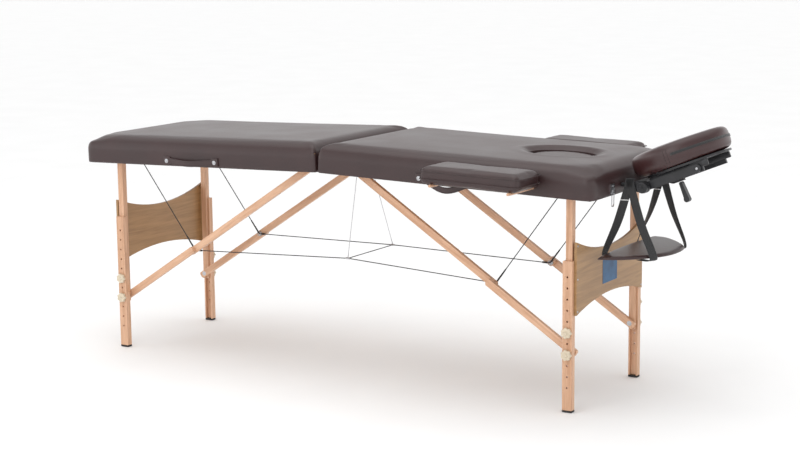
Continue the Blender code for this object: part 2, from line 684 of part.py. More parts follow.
def face_cushion(rivet, centre, finishes):
    """The horseshoe face cushion, open towards the table."""
    slot = math.degrees(math.asin(CUSHION_SLOT / CUSHION_WIDE))
    inner_slot = math.degrees(math.asin(CUSHION_SLOT / CUSHION_HOLE[1]))
    outline = arc(centre, (CUSHION_LONG, CUSHION_WIDE), -180.0 + slot, 180.0 - slot, 36)
    outline += arc(centre, CUSHION_HOLE, 180.0 - inner_slot, -180.0 + inner_slot, 24)
    low = PLATFORM_Z + PLATFORM_THICK + GAP
    cushion = prism("face_cushion", outline, low, low + CUSHION_THICK, "Z", finishes["vinyl"], rivet)
    bevel(cushion, 0.012, 3, 60.0)


def cam_lever(hub_at, finishes):
    """The clamp lever that hangs under the arms."""
    lever_at = empty("lever_pivot", hub_at.matrix_world @ Vector((LEVER_PIVOT[0], 0.0, LEVER_PIVOT[1])))
    outline = arc((0.0, 0.0), 0.005, 10.0, 190.0, 8) + [(0.010, -0.040)]
    outline += arc((0.019, -0.044), 0.009, 200.0, 360.0, 8)
    half = LEVER_HALF_WIDTH
    lever = prism("cam_lever", outline, -half, half, "Y", finishes["plastic"], lever_at)
    bevel(lever, 0.0015, 1, 60.0)


def shelf_edges(y):
    """The arm shelf's front and back edge at a distance from its middle, measured from the hinge line."""
    share = min(abs(y) / SHELF_HALF_WIDTH, 1.0)
    front = SHELF_BACK_X + SHELF_DEPTH * (1 - share**2.4)
    back = SHELF_BACK_X - SHELF_HOLLOW * (1 - share**2)
    return front, back


def sling(finishes):
    """The hanging arm shelf, and on each side one strap that runs down, under the shelf and up again."""
    top_x = STRAP_TOP[0] + HINGE_X
    swing = empty("sling_hook", (top_x, 0.0, STRAP_TOP[1]))
    turns = [math.pi * (i / 24 - 0.5) for i in range(25)]
    spread = [SHELF_HALF_WIDTH * math.sin(turn) for turn in turns]
    shift = HINGE_X - top_x
    outline = [(shelf_edges(y)[0] + shift, y) for y in spread]
    outline += [(shelf_edges(y)[1] + shift, y) for y in reversed(spread[1:-1])]
    low = SHELF_Z - STRAP_TOP[1]
    shelf = prism("arm_shelf", outline, low, low + SHELF_THICK, "Z", finishes["vinyl"], swing)
    bevel(shelf, 0.003, 2, 60.0)
    front, back = shelf_edges(STRAP_Y - STRAP_THICK)
    front, back = front + shift + GAP, back + shift - GAP
    half, under = STRAP_WIDTH / 2, low - GAP
    bend, thick, sliver = low + STRAP_BEND, STRAP_THICK, 0.0001
    outer = [(half, STRAP_LOOP[1]), (front + STRAP_SPREAD, bend), (front + thick, under - thick)]
    outer += [(back - thick, under - thick), (back - STRAP_SPREAD, bend), (-half, STRAP_LOOP[1])]
    inner = [(-half * 0.2, STRAP_FORK), (back - sliver, bend), (back - sliver, under)]
    inner += [(front + sliver, under), (front + sliver, bend), (half * 0.2, STRAP_FORK)]
    for sy, word in SIDES:
        span = sorted((sy * STRAP_Y, sy * (STRAP_Y + STRAP_THICK)))
        strap = prism(f"sling_strap_{word}", outer, *span, "Y", finishes["webbing"], swing)
        over = sorted((sy * STRAP_LOOP_INNER_Y, sy * (STRAP_Y + STRAP_THICK)))
        low_corner, high_corner = (-half, over[0], STRAP_LOOP[0]), (half, over[1], STRAP_LOOP[1])
        weld(strap, box(f"strap_loop_{word}", low_corner, high_corner, finishes["webbing"], swing))
        wide = (span[0] - PAST, span[1] + PAST)
        cut(strap, prism(f"strap_inside_{word}", inner, *wide, "Y", finishes["webbing"], swing))


def armrest(side, sy, word, finishes):
    """A side armrest: a pad on a board whose two dowels push into the side rail."""
    shift = sy * ARMREST_Y[0]
    at = empty(f"armrest_{word}_seat", side["empty"].matrix_world @ Vector((0.0, shift, 0.0)), TILT)
    near, far = sorted((0.0, sy * (ARMREST_Y[1] - ARMREST_Y[0])))
    low, high = (ARMREST_X[0], near), (ARMREST_X[1], far)
    outline = rounded_rectangle(low, high, [0.014] * 4, 4)
    pad = prism(f"armrest_pad_{word}", outline, *ARMREST_Z, "Z", finishes["vinyl"], at)
    bevel(pad, 0.006, 2, 60.0)
    board_y = sorted((sy * 0.001, sy * (ARMREST_Y[1] - ARMREST_Y[0] - BOARD_INSET)))
    board_low = (ARMREST_X[0] + BOARD_INSET, board_y[0], DOWEL_Z + DOWEL_RADIUS - BOARD_SUNK)
    board_high = (ARMREST_X[1] - BOARD_INSET, board_y[1], ARMREST_Z[0] - GAP)
    board = box(f"armrest_board_{word}", board_low, board_high, finishes["wood"], at)
    for x in DOWEL_X:
        start = (x, sy * DOWEL_START_Y - shift, DOWEL_Z)
        end = (x, sy * (ARMREST_Y[1] - 0.002) - shift, DOWEL_Z)
        weld(board, rod(f"dowel_{word}_{x}", start, end, DOWEL_RADIUS, 12, finishes["wood"], at))


def handle(side, start_x, length, droop, finishes):
    """A carry handle: a padded strap that droops a little between its two fixed ends."""
    sign, parent = side["sign"], side["empty"]
    steps = 10
    top, bottom = [], []
    for i in range(steps + 1):
        share = i / steps
        x = sign * (start_x + length * share)
        z = HANDLE_Z - droop * math.sin(math.pi * share) ** 2
        top.append((x, z + HANDLE_HALF_WIDTH))
        bottom.append((x, z - HANDLE_HALF_WIDTH))
    near = -(HALF_WIDTH + GAP)
    outline = top + bottom[::-1]
    span = (near - HANDLE_THICK, near)
    strap = prism(f"{side['name']}_handle", outline, *span, "Y", finishes["vinyl"], parent)
    bevel(strap, 0.0015, 1, 60.0)


def latch(side, sy, word, finishes):
    """A latch plate on the end face, with its wire loop hanging down."""
    parent, steel = side["empty"], finishes["steel"]
    x, y = HALF_LENGTH + GAP, sy * LATCH_Y
    half, thick = LATCH_PLATE
    plate_low, plate_high = (x, y - half, LATCH_Z[0]), (x + thick, y + half, LATCH_Z[1])
    plate = box(f"head_latch_{word}", plate_low, plate_high, steel, parent)
    wire, corner = LOOP_WIRE, LOOP_Y - 0.0001
    outer = rounded_rectangle((y - LOOP_Y, LOOP_Z[0]), (y + LOOP_Y, LOOP_Z[1]), [corner] * 4, 4)
    inner_low, inner_high = (y - LOOP_Y + wire, LOOP_Z[0] + wire), (y + LOOP_Y - wire, LOOP_Z[1] - wire)
    inner = rounded_rectangle(inner_low, inner_high, [corner - wire] * 4, 4)
    weld(plate, prism(f"loop_{word}", outer, x + LOOP_X[0], x + LOOP_X[1], "X", steel, parent))
    cut(plate, prism(f"loop_hole_{word}", inner, x + thick + 0.0001, x + 2 * thick, "X", steel, parent))
    below = [(a, min(b, LATCH_Z[0] - 0.0005)) for a, b in inner]
    cut(plate, prism(f"loop_hole_low_{word}", below, x - 0.001, x + 2 * thick, "X", steel, parent))


def make_side(name, sign):
    """Work out where one half's hinge line, leg pivot and brace pivots are."""
    half = empty(f"{name}_half", (HINGE_X, 0.0, HINGE_HEIGHT), sign * TILT)
    leg = half.matrix_world @ Vector((sign * LEG_X, 0.0, LEG_DEPTH_IN_FRAME))
    root = half.matrix_world @ Vector((sign * BRACE_ROOT_X, 0.0, LEG_DEPTH_IN_FRAME))
    foot = Vector((HINGE_X + sign * BRACE_FOOT[0], 0.0, BRACE_FOOT[1]))
    open_length = (foot - root).length
    folded_foot_x = LEG_X - (leg.z - foot.z)
    folded_length = folded_foot_x - BRACE_ROOT_X
    upper_length = (open_length + folded_length) / 2
    knee = root + (foot - root).normalized() * upper_length
    return {
        "name": name,
        "sign": sign,
        "empty": half,
        "leg_pivot": empty(f"{name}_leg_pivot", leg),
        "brace_root": (root.x, root.z),
        "brace_foot": (foot.x, foot.z),
        "knee": (knee.x, knee.z),
    }


def make_finishes():
    """The materials, by name."""
    return {
        "vinyl": material("brown_vinyl", (0.060, 0.035, 0.034), 0.45),
        "wood": material("beech", (0.62, 0.40, 0.24), 0.5),
        "ply": material("plywood", (0.55, 0.36, 0.18), 0.55),
        "steel": material("steel", (0.70, 0.70, 0.72), 0.3, 1.0),
        "cable": material("cable", (0.05, 0.05, 0.05), 0.4, 0.6),
        "knob": material("knob_plastic", (0.72, 0.66, 0.54), 0.4),
        "rubber": material("rubber", (0.03, 0.03, 0.03), 0.8),
        "plastic": material("black_plastic", (0.02, 0.02, 0.022), 0.4),
        "webbing": material("webbing", (0.02, 0.02, 0.022), 0.8),
    }


def build():
    """Clear the scene and make every piece."""
    for old in list(bpy.data.objects):
        bpy.data.objects.remove(old, do_unlink=True)
    finishes = make_finishes()
    sides = [make_side("head", 1), make_side("foot", -1)]
    head, foot = sides
    frames, decks, pads = [], [], []
    for side in sides:
        frame, deck = half_frame(side, finishes)
        frames.append(frame)
        decks.append(deck)
        pads.append(half_pad(side, finishes))
        leg_pair(side, finishes)
        braces(side, finishes)
    face_opening(head, pads[0], decks[0], finishes)
    fitting_holes(head, frames[0], pads[0], finishes)
    hinge_leaves(sides, finishes)
    cable_net(sides, finishes)
    headrest(head, finishes)
    sling(finishes)
    for sy, word in SIDES:
        armrest(head, sy, word, finishes)
        latch(head, sy, word, finishes)
    handle(head, *HEAD_HANDLE, finishes)
    handle(foot, *FOOT_HANDLE, finishes)


build()
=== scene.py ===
import json
import math

import bmesh
import bpy
from mathutils import Matrix, Vector
from mathutils.bvhtree import BVHTree

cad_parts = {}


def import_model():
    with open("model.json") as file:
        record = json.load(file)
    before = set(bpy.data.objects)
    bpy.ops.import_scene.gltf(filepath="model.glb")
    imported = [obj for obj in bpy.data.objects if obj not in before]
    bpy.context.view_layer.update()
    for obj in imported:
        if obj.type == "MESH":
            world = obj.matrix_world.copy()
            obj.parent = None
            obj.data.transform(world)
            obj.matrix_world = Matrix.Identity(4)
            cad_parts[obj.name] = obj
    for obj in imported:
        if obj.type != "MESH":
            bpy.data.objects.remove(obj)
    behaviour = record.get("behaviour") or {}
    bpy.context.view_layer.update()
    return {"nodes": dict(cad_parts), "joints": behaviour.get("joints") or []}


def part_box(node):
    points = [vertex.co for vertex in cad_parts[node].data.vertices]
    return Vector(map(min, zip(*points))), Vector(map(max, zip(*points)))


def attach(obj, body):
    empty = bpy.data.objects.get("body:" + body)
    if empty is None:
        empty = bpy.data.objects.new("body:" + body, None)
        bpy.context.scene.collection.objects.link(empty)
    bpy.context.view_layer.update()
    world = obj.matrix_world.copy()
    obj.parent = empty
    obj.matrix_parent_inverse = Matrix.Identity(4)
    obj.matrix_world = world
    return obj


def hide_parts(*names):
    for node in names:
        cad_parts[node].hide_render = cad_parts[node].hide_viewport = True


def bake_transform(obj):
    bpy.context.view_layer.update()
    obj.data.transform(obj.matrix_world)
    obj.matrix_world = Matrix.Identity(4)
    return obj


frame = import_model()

# The frame's own places: the hinge line, the tilt of each half and the joints' axes
JOINTS = {joint["name"]: joint for joint in frame["joints"]}
NODES = frame["nodes"]
SLIDE = JOINTS["headrest_slide"]["axis"]
TILT = math.atan2(-SLIDE[2], SLIDE[0])
KNUCKLE = 0.004
HINGE = Vector(JOINTS["table_fold"]["pos_m"]) + Vector((0.0, 0.0, KNUCKLE))
HALVES = (("head", 1), ("foot", -1))
SIDES = ((-1, "right"), (1, "left"))
TINY = 1e-9

# A half's frame and cover, from the hinge outwards and from the frame's underside upwards
HALF_LENGTH = 0.925
HALF_WIDTH = 0.290
SIDE_HEIGHT = 0.087
SEAM_GAP = 0.001
TOP_EDGE = 0.030
END_CORNER = 0.030
SEAM_CORNER = 0.012
HEM = 0.0026
HEM_RADIUS = 0.001
SKIRT = 0.0045
FLOOR_OF_FOAM = 0.0570
HOLLOW_BELOW = 0.02

# The cover's mesh, its swelling, its crown and its lean towards the seam
CLOTH_FRAMES = 20
COVER_CELL = 0.0125
COVER_BELOW_TOP = 0.002
COVER_SWELL = 0.0035
COVER_HELD = 0.050
CROWN_ABOVE = 0.06
CROWN_REACH = 0.16
CROWN_RISE = 0.0025
SEAM_REACH = 0.05
SEAM_ABOVE = 0.02
SEAM_LEAN = 0.0012
BULGE = 0.004

# The stretched corners at the table's ends
DROOP_FROM = 0.062
DROOP_REACH = 0.110
DROOP_FALL = 0.030
DROOP_IN = 0.013
DROOP_POWER = 1.5

# The face hole and its plug, whose rings are a share of the oval and a height
HOLE_X = 0.690
HOLE_LONG = 0.105
HOLE_WIDE = 0.085
HOLE_ROLL = 0.013
HOLE_DIP = 0.016
HOLE_SWELL = 0.0016
HOLE_SWELL_REACH = 0.35
OVAL_SIDES = 64
WELL_Z = (0.02, 0.15)
PLUG_CLEAR = 0.0015
PLUG_GAP = 0.0003
PLUG_SUNK = 0.0110
PLUG_BASE = ((0.60, 0.0), (0.96, 0.0), (1.0, 0.004))
PLUG_CROWN = (
    (1.0, -0.008), (0.975, -0.003), (0.93, 0.0), (0.85, 0.0025), (0.65, 0.0050), (0.40, 0.0062),
    (0.18, 0.0068),
)

# The side armrests, in the head half's frame
ARMREST_X = (0.450, 0.772)
ARMREST_Y = (0.298, 0.440)
ARMREST_Z = (0.0290, 0.0735)
ARMREST_CELL = 0.0075
ARMREST_CORNER = 0.016
ARMREST_TOP_EDGE = 0.013
ARMREST_LOW_EDGE = 0.010
ARMREST_SWELL = 0.005
ARMREST_SEAMS = (("upper", 0.0640), ("lower", 0.0420))
SEAM_PROUD = 0.0005
SEAM_RADIUS = 0.0011
DOWEL_X = (0.490, 0.740)
DOWEL_Z = 0.0233
DOWEL_FROM_Y = 0.268
DOWEL_STEP = 0.01725
DOWEL_RADIUS = 0.0049
DOWEL_TIP_RADIUS = 0.0040
DOWEL_TIP_FROM = 0.97

# The arm shelf
SHELF_STEPS = 36
SHELF_ROWS = 12
SHELF_HOLLOW = 0.022
SHELF_FRONT_POWER = 2.4
SHELF_EDGE_SLOPE = 6
SHELF_PUFF = 0.0065
SHELF_BELOW = 0.6
WELD = 0.00005

# The face cushion and the rails under it, in the platform's frame
FACE_X = -0.069
FACE_Z = 0.0257
FACE_LONG = 0.145
FACE_WIDE = 0.143
FACE_HOLE_LONG = 0.064
FACE_HOLE_WIDE = 0.050
FACE_THICK = 0.068
FACE_GAP = 0.018
FACE_GAP_RADIUS = 0.100
FACE_STEPS = 72
FACE_SIDES = 20
FACE_FADE_STEPS = 5
FACE_END_SQUEEZE = 0.08
FACE_NARROWING = 0.14
FACE_FLAT_POWER = 0.55
FACE_TALL_POWER = 0.62
FACE_SWELL = 0.006
FACE_HELD = 0.003
FACE_SEAM_DEGREES = (-83, -87, 83, 87)
FACE_SEAM_RADIUS = 0.0009
ZIP_DEGREES = 79
ZIP_HEIGHT = 0.52
ZIP_WIDE = 0.0075
ZIP_THICK = 0.0020
RAIL_LOW = (-0.150, 0.0805, 0.0005)
RAIL_HIGH = (0.034, 0.0895, 0.0188)
HUB_Y = 0.124
HUB_RING_RADIUS = 0.0125
ARM_RIVET_Y = 0.0986

# The sling's straps. A run has its way in under the shelf, its lean and the direction across its foot
SLING_Y = 0.1155
SLING_START_Y = 0.1040
SLING_WIDE = 0.025
SLING_THICK = 0.0018
SLING_BACK_IN = 0.010
SLING_FRONT_IN = 0.012
SLING_RUNS = (("back", 1, 0.0036, (0.15, -1.0)), ("front", -1, -0.0030, (0.58, -0.81)))
TWIST_FROM = 0.30
TWIST_OVER = 0.45
STITCH_AT = 16
STITCH_REACH = 0.0012
STITCH_WIDER = 1.02
STITCH_THICK = 0.0024
STRAP_FLAT = 0.92
STRAP_THIN = 0.55

# The carry handles, along the table: first screw, second screw and sag
HANDLES = {"foot": (0.383, 0.574, 0.006), "head": (0.368, 0.558, 0.026)}
HANDLE_OUT = 0.0032
HANDLE_Z = 0.016
HANDLE_STEPS = 28
HANDLE_PAST = 0.012
HANDLE_FLAT = 0.10
HANDLE_BOW = 0.010
HANDLE_WIDE = 0.019
HANDLE_THICK = 0.0042
HANDLE_STITCH = 0.0070
STITCH_RADIUS = 0.00055
TAB_HALF = 0.013
TAB_OUT = 0.0012
TAB_IN = 0.0028
TAB_Z = (0.003, 0.030)

# The cables. The junctions are measured from the hinge's X
CABLE_Y = 0.178
CABLE_RADIUS = 0.0015
ANCHOR_X = 0.812
ANCHOR_Z = 0.048
JUNCTION = (0.010, 0.134, 0.361)
HANGERS = {"right": 0.036, "left": 0.070}
HANGER_Y = 0.100
HANGER_RADIUS = 0.0012
SLEEVE_RADIUS = 0.0029
SLEEVE_TAPER = 0.0007
CRIMP_RADIUS = 0.0030
RING_RADIUS = 0.0075
RING_WIRE = 0.0012
RUN_STEPS = 15
NEARLY_UPRIGHT = 0.9

# Screws and bolts. The dome's rings are shares of its radius, outwards and upwards
SCREW_SIDES = 24
SCREW_OUT = 0.0022
WASHER_THICK = 0.0010
DOME_PROFILE = ((1.0, 0.0), (0.92, 0.28), (0.66, 0.46), (0.30, 0.52))
DIMPLE_HEIGHT = 0.28
FLUSH = 0.06
PANEL_SCREW_Y = 0.222
PANEL_SCREW_Z = (0.4865, 0.390, 0.296)
BRACE_BOLT_Y = 0.1977
KNEE_BOLT_Y = 0.1843
LATCH_SCREW_Y = 0.160
LATCH_SCREW_Z = (0.028, 0.014)
LATCH_SCREW_OUT = 0.0034

# The label's plate on the head panel
LABEL_GAP = 0.0001
LABEL_THICK = 0.0006
LABEL_Y = (-0.056, 0.044)
LABEL_Z = (0.347, 0.418)

# The wood's grain: texture cells per metre along it and across it, and the flecks' share
GRAIN_ALONG = 1.6
GRAIN_ACROSS = 26.0
FLECK_SHARE = 0.35

# Floor, light and camera, in the frame's metres. A lamp has a place, a size and a power
FLOOR_GAP = 0.0008
WORLD_STRENGTH = 1.42
LAMP_TARGET = (0.0, 0.0, 0.5)
LAMPS = (
    ("key", (0.2, -3.6, 2.6), 2.4, 26.0),
    ("fill", (-3.6, -2.4, 2.0), 2.4, 10.0),
    ("top", (-0.3, -0.6, 3.6), 3.0, 16.0),
)
CAMERA_PLACE = (2.83013, -4.63231, 1.38489)
CAMERA_FORWARD = (-0.51695662, 0.83855845, -0.17197551)
CAMERA_ROLL = -0.0108
CAMERA_LENS = 78.54


# ---- materials

def new_material(name):
    """A material with its nodes, its links and its shader."""
    made = bpy.data.materials.new(name)
    made.use_nodes = True
    nodes, links = made.node_tree.nodes, made.node_tree.links
    return made, nodes, links, nodes["Principled BSDF"]


def add_node(nodes, kind, **values):
    """A node whose sockets and settings are given by name."""
    made = nodes.new(kind)
    for key, value in values.items():
        if key in made.inputs:
            made.inputs[key].default_value = value
        else:
            setattr(made, key, value)
    return made


def texture(nodes, links, where, kind, **values):
    """A texture node, fed with a place."""
    made = add_node(nodes, f"ShaderNodeTex{kind}", **values)
    links.new(where, made.inputs["Vector"])
    return made


def object_place(nodes):
    """Object coordinates, which are the row frame's."""
    return nodes.new("ShaderNodeTexCoord").outputs["Object"]


def mapped(nodes, links, source, **values):
    """A place, turned or stretched."""
    mapping = add_node(nodes, "ShaderNodeMapping", **values)
    links.new(source, mapping.inputs["Vector"])
    return mapping.outputs["Vector"]


def ramp(nodes, links, source, stops):
    """A colour ramp through stops of position and colour."""
    made = nodes.new("ShaderNodeValToRGB")
    elements = made.color_ramp.elements
    for number, (position, colour) in enumerate((stops[0], stops[-1])):
        elements[number].position = position
        elements[number].color = (*colour, 1.0)
    for position, colour in stops[1:-1]:
        elements.new(position).color = (*colour, 1.0)
    links.new(source, made.inputs["Fac"])
    return made.outputs["Color"]


def two_tone(nodes, links, shader, source, dark, light, low=0.3, high=0.7):
    """Colours the shader between a dark and a light tone."""
    colour = ramp(nodes, links, source, [(low, dark), (high, light)])
    links.new(colour, shader.inputs["Base Color"])


def rough_between(nodes, links, shader, source, low, high):
    """Lets a texture vary the shader's roughness."""
    rough = add_node(nodes, "ShaderNodeMapRange")
    rough.inputs["To Min"].default_value = low
    rough.inputs["To Max"].default_value = high
    links.new(source, rough.inputs["Value"])
    links.new(rough.outputs["Result"], shader.inputs["Roughness"])


def bump(nodes, links, shader, height, strength, distance):
    """A bump node on the shader's normal."""
    made = add_node(nodes, "ShaderNodeBump", Strength=strength, Distance=distance)
    links.new(height, made.inputs["Height"])
    links.new(made.outputs["Normal"], shader.inputs["Normal"])
    return made


def leather(name, dark, light, roughness=(0.36, 0.50)):
    """Soft vinyl: pebbled grain, a slow drift of colour, and creases that catch the light."""
    made, nodes, links, shader = new_material(name)
    where = object_place(nodes)
    drift = texture(nodes, links, where, "Noise", Scale=7.0, Detail=4.0)
    grain = texture(nodes, links, where, "Voronoi", Scale=420.0)
    crease = texture(nodes, links, where, "Noise", Scale=26.0, Detail=3.0, Distortion=0.8)
    two_tone(nodes, links, shader, drift.outputs["Fac"], dark, light)
    rough_between(nodes, links, shader, drift.outputs["Fac"], *roughness)
    first = bump(nodes, links, shader, grain.outputs["Distance"], strength=0.16, distance=0.0006)
    second = bump(nodes, links, shader, crease.outputs["Fac"], strength=0.10, distance=0.004)
    links.new(first.outputs["Normal"], second.inputs["Normal"])
    shader.inputs["Specular IOR Level"].default_value = 0.55
    shader.inputs["Coat Weight"].default_value = 0.12
    shader.inputs["Coat Roughness"].default_value = 0.30
    return made


def timber(name, dark, light, along, roughness=0.42, fine=1.0):
    """Lacquered wood whose grain runs along a named axis, or at an angle in the XZ plane."""
    made, nodes, links, shader = new_material(name)
    by_axis = isinstance(along, str)
    axis = "XYZ".index(along) if by_axis else 0
    turned = mapped(nodes, links, object_place(nodes), Rotation=(0.0, 0.0 if by_axis else along, 0.0))
    scale = [(GRAIN_ALONG if k == axis else GRAIN_ACROSS) * fine for k in range(3)]
    where = mapped(nodes, links, turned, Scale=scale)
    grain = texture(nodes, links, where, "Noise", Scale=3.0, Detail=8.0, Distortion=1.1)
    fleck = texture(nodes, links, where, "Noise", Scale=16.0, Detail=4.0)
    mixed = add_node(nodes, "ShaderNodeMath", operation="MULTIPLY_ADD")
    mixed.inputs[1].default_value = FLECK_SHARE
    links.new(fleck.outputs["Fac"], mixed.inputs[0])
    links.new(grain.outputs["Fac"], mixed.inputs[2])
    two_tone(nodes, links, shader, mixed.outputs["Value"], dark, light, low=0.45, high=0.85)
    bump(nodes, links, shader, mixed.outputs["Value"], strength=0.12, distance=0.0008)
    shader.inputs["Roughness"].default_value = roughness
    shader.inputs["Coat Weight"].default_value = 0.18
    shader.inputs["Coat Roughness"].default_value = 0.28
    return made


def metal(name, colour, roughness):
    """Metal with a fine unevenness."""
    made, nodes, links, shader = new_material(name)
    noise = texture(nodes, links, object_place(nodes), "Noise", Scale=900.0, Detail=2.0)
    rough_between(nodes, links, shader, noise.outputs["Fac"], roughness * 0.7, roughness * 1.4)
    bump(nodes, links, shader, noise.outputs["Fac"], strength=0.05, distance=0.0003)
    shader.inputs["Base Color"].default_value = (*colour, 1.0)
    shader.inputs["Metallic"].default_value = 1.0
    return made


def moulded(name, dark, light, roughness, grain=600.0):
    """Plastic, rubber, thread or paint with a fine moulded texture."""
    made, nodes, links, shader = new_material(name)
    where = object_place(nodes)
    noise = texture(nodes, links, where, "Noise", Scale=grain, Detail=3.0)
    patch = texture(nodes, links, where, "Noise", Scale=24.0, Detail=3.0)
    two_tone(nodes, links, shader, patch.outputs["Fac"], dark, light)
    bump(nodes, links, shader, noise.outputs["Fac"], strength=0.12, distance=0.0004)
    shader.inputs["Roughness"].default_value = roughness
    return made


def woven(name, dark, light, across):
    """Webbing: ribs crossed by a diagonal weave."""
    made, nodes, links, shader = new_material(name)
    where = object_place(nodes)
    ribs = texture(nodes, links, where, "Wave", Scale=across, Distortion=0.3, bands_direction="Z")
    finer = across * 1.5
    cross = texture(nodes, links, where, "Wave", Scale=finer, Distortion=0.3, bands_direction="DIAGONAL")
    mixed = add_node(nodes, "ShaderNodeMath", operation="MULTIPLY")
    links.new(ribs.outputs["Fac"], mixed.inputs[0])
    links.new(cross.outputs["Fac"], mixed.inputs[1])
    two_tone(nodes, links, shader, mixed.outputs["Value"], dark, light, low=0.1, high=0.9)
    bump(nodes, links, shader, mixed.outputs["Value"], strength=0.5, distance=0.0008)
    shader.inputs["Roughness"].default_value = 0.62
    shader.inputs["Sheen Weight"].default_value = 0.25
    return made


VINYL = leather("vinyl_brown", (0.024, 0.0085, 0.0085), (0.037, 0.0140, 0.0140))
VINYL_RED = leather("vinyl_headrest", (0.030, 0.0085, 0.0085), (0.043, 0.0130, 0.0130), (0.30, 0.44))
THREAD = moulded("thread_brown", (0.030, 0.018, 0.018), (0.055, 0.035, 0.034), 0.7, grain=900.0)
ZIP = woven("zip_tape", (0.012, 0.012, 0.013), (0.035, 0.033, 0.034), 240.0)
BEECH_Z = timber("beech_upright", (0.50, 0.265, 0.150), (0.70, 0.43, 0.275), "Z")
BEECH_X = timber("beech_rail", (0.48, 0.255, 0.145), (0.67, 0.41, 0.26), "X")
PLY = timber("plywood", (0.27, 0.145, 0.055), (0.40, 0.225, 0.092), "Y", roughness=0.44, fine=0.7)
STEEL = metal("steel_bright", (0.50, 0.50, 0.52), 0.27)
CABLE = metal("cable_coated", (0.05, 0.05, 0.055), 0.42)
KNOB = moulded("knob_ivory", (0.60, 0.51, 0.38), (0.70, 0.61, 0.47), 0.36)
RUBBER = moulded("rubber_black", (0.014, 0.013, 0.013), (0.030, 0.028, 0.028), 0.75)
BLACK = moulded("plastic_black", (0.012, 0.012, 0.014), (0.024, 0.024, 0.027), 0.38)
WEBBING = woven("webbing_black", (0.008, 0.008, 0.009), (0.035, 0.035, 0.038), 300.0)
WHITE_THREAD = moulded("thread_white", (0.60, 0.60, 0.60), (0.80, 0.80, 0.80), 0.6)
LABEL = moulded("label_blue", (0.010, 0.060, 0.150), (0.022, 0.110, 0.240), 0.45)

# Words in the CAD nodes' names, their finish and their bevel. None stands for the brace's own wood
CAD_LOOKS = (
    (("brace_shaft", "leg_shaft", "hinge", "latch"), STEEL, 0.0),
    (("lower_leg", "upper_leg"), BEECH_Z, 0.0012),
    (("_brace_",), None, 0.0012),
    (("end_panel",), PLY, 0.0010),
    (("deck",), PLY, 0.0),
    (("headrest_base", "headrest_arms", "headrest_platform", "cam_lever"), BLACK, 0.0010),
    (("frame",), BEECH_X, 0.0010),
    (("board",), BEECH_X, 0.0008),
    (("foot_cap",), RUBBER, 0.0008),
    (("knob",), KNOB, 0.0010),
    (("",), BLACK, 0.0),
)


# ---- helpers

def world(sign, x, z, y=0.0):
    """A point of a half's own frame, whose X runs outwards from the hinge, in the row frame."""
    x = sign * x
    c, s = math.cos(sign * TILT), math.sin(sign * TILT)
    return Vector((HINGE.x + x * c + z * s, y, HINGE.z - x * s + z * c))


def half_matrix(sign):
    """From a half's frame, with X towards the head on both halves, to the row frame."""
    return Matrix.Translation(HINGE) @ Matrix.Rotation(sign * TILT, 4, "Y")


def finish_mesh(bm, name, material, smooth=True):
    """The bmesh as an object with a material."""
    bmesh.ops.recalc_face_normals(bm, faces=bm.faces)
    mesh = bpy.data.meshes.new(name)
    bm.to_mesh(mesh)
    bm.free()
    made = bpy.data.objects.new(name, mesh)
    bpy.context.scene.collection.objects.link(made)
    mesh.materials.append(material)
    if smooth:
        mesh.shade_smooth()
    return made


def bridge(bm, rings, closed=False):
    """Faces between rings of equal count, and from the last to the first if closed."""
    pairs = list(zip(rings, rings[1:])) + ([(rings[-1], rings[0])] if closed else [])
    for near, far in pairs:
        for k, spot in enumerate(near):
            after = (k + 1) % len(near)
            bm.faces.new((spot, near[after], far[after], far[k]))


def cap(bm, rings):
    """A face on the first ring and one on the last."""
    bm.faces.new(rings[0][::-1])
    bm.faces.new(rings[-1])


def turns(count):
    """Equal steps of a full turn, in radians."""
    return [2 * math.pi * k / count for k in range(count)]


def apply_modifiers(made):
    """Fix the object's modifiers into its mesh."""
    graph = bpy.context.evaluated_depsgraph_get()
    graph.update()
    fixed = bpy.data.meshes.new_from_object(made.evaluated_get(graph))
    made.modifiers.clear()
    old = made.data
    made.data = fixed
    bpy.data.meshes.remove(old)


def round_edges(made, width, segments=1):
    """Bevel a mesh's edges and fix the result."""
    rounding = made.modifiers.new("edges", "BEVEL")
    rounding.width = width
    rounding.segments = segments
    apply_modifiers(made)


def smooth_by_angle(made, degrees):
    """Smooth shading with sharp edges above an angle."""
    made.data.shade_smooth()
    made.data.set_sharp_from_angle(angle=math.radians(degrees))


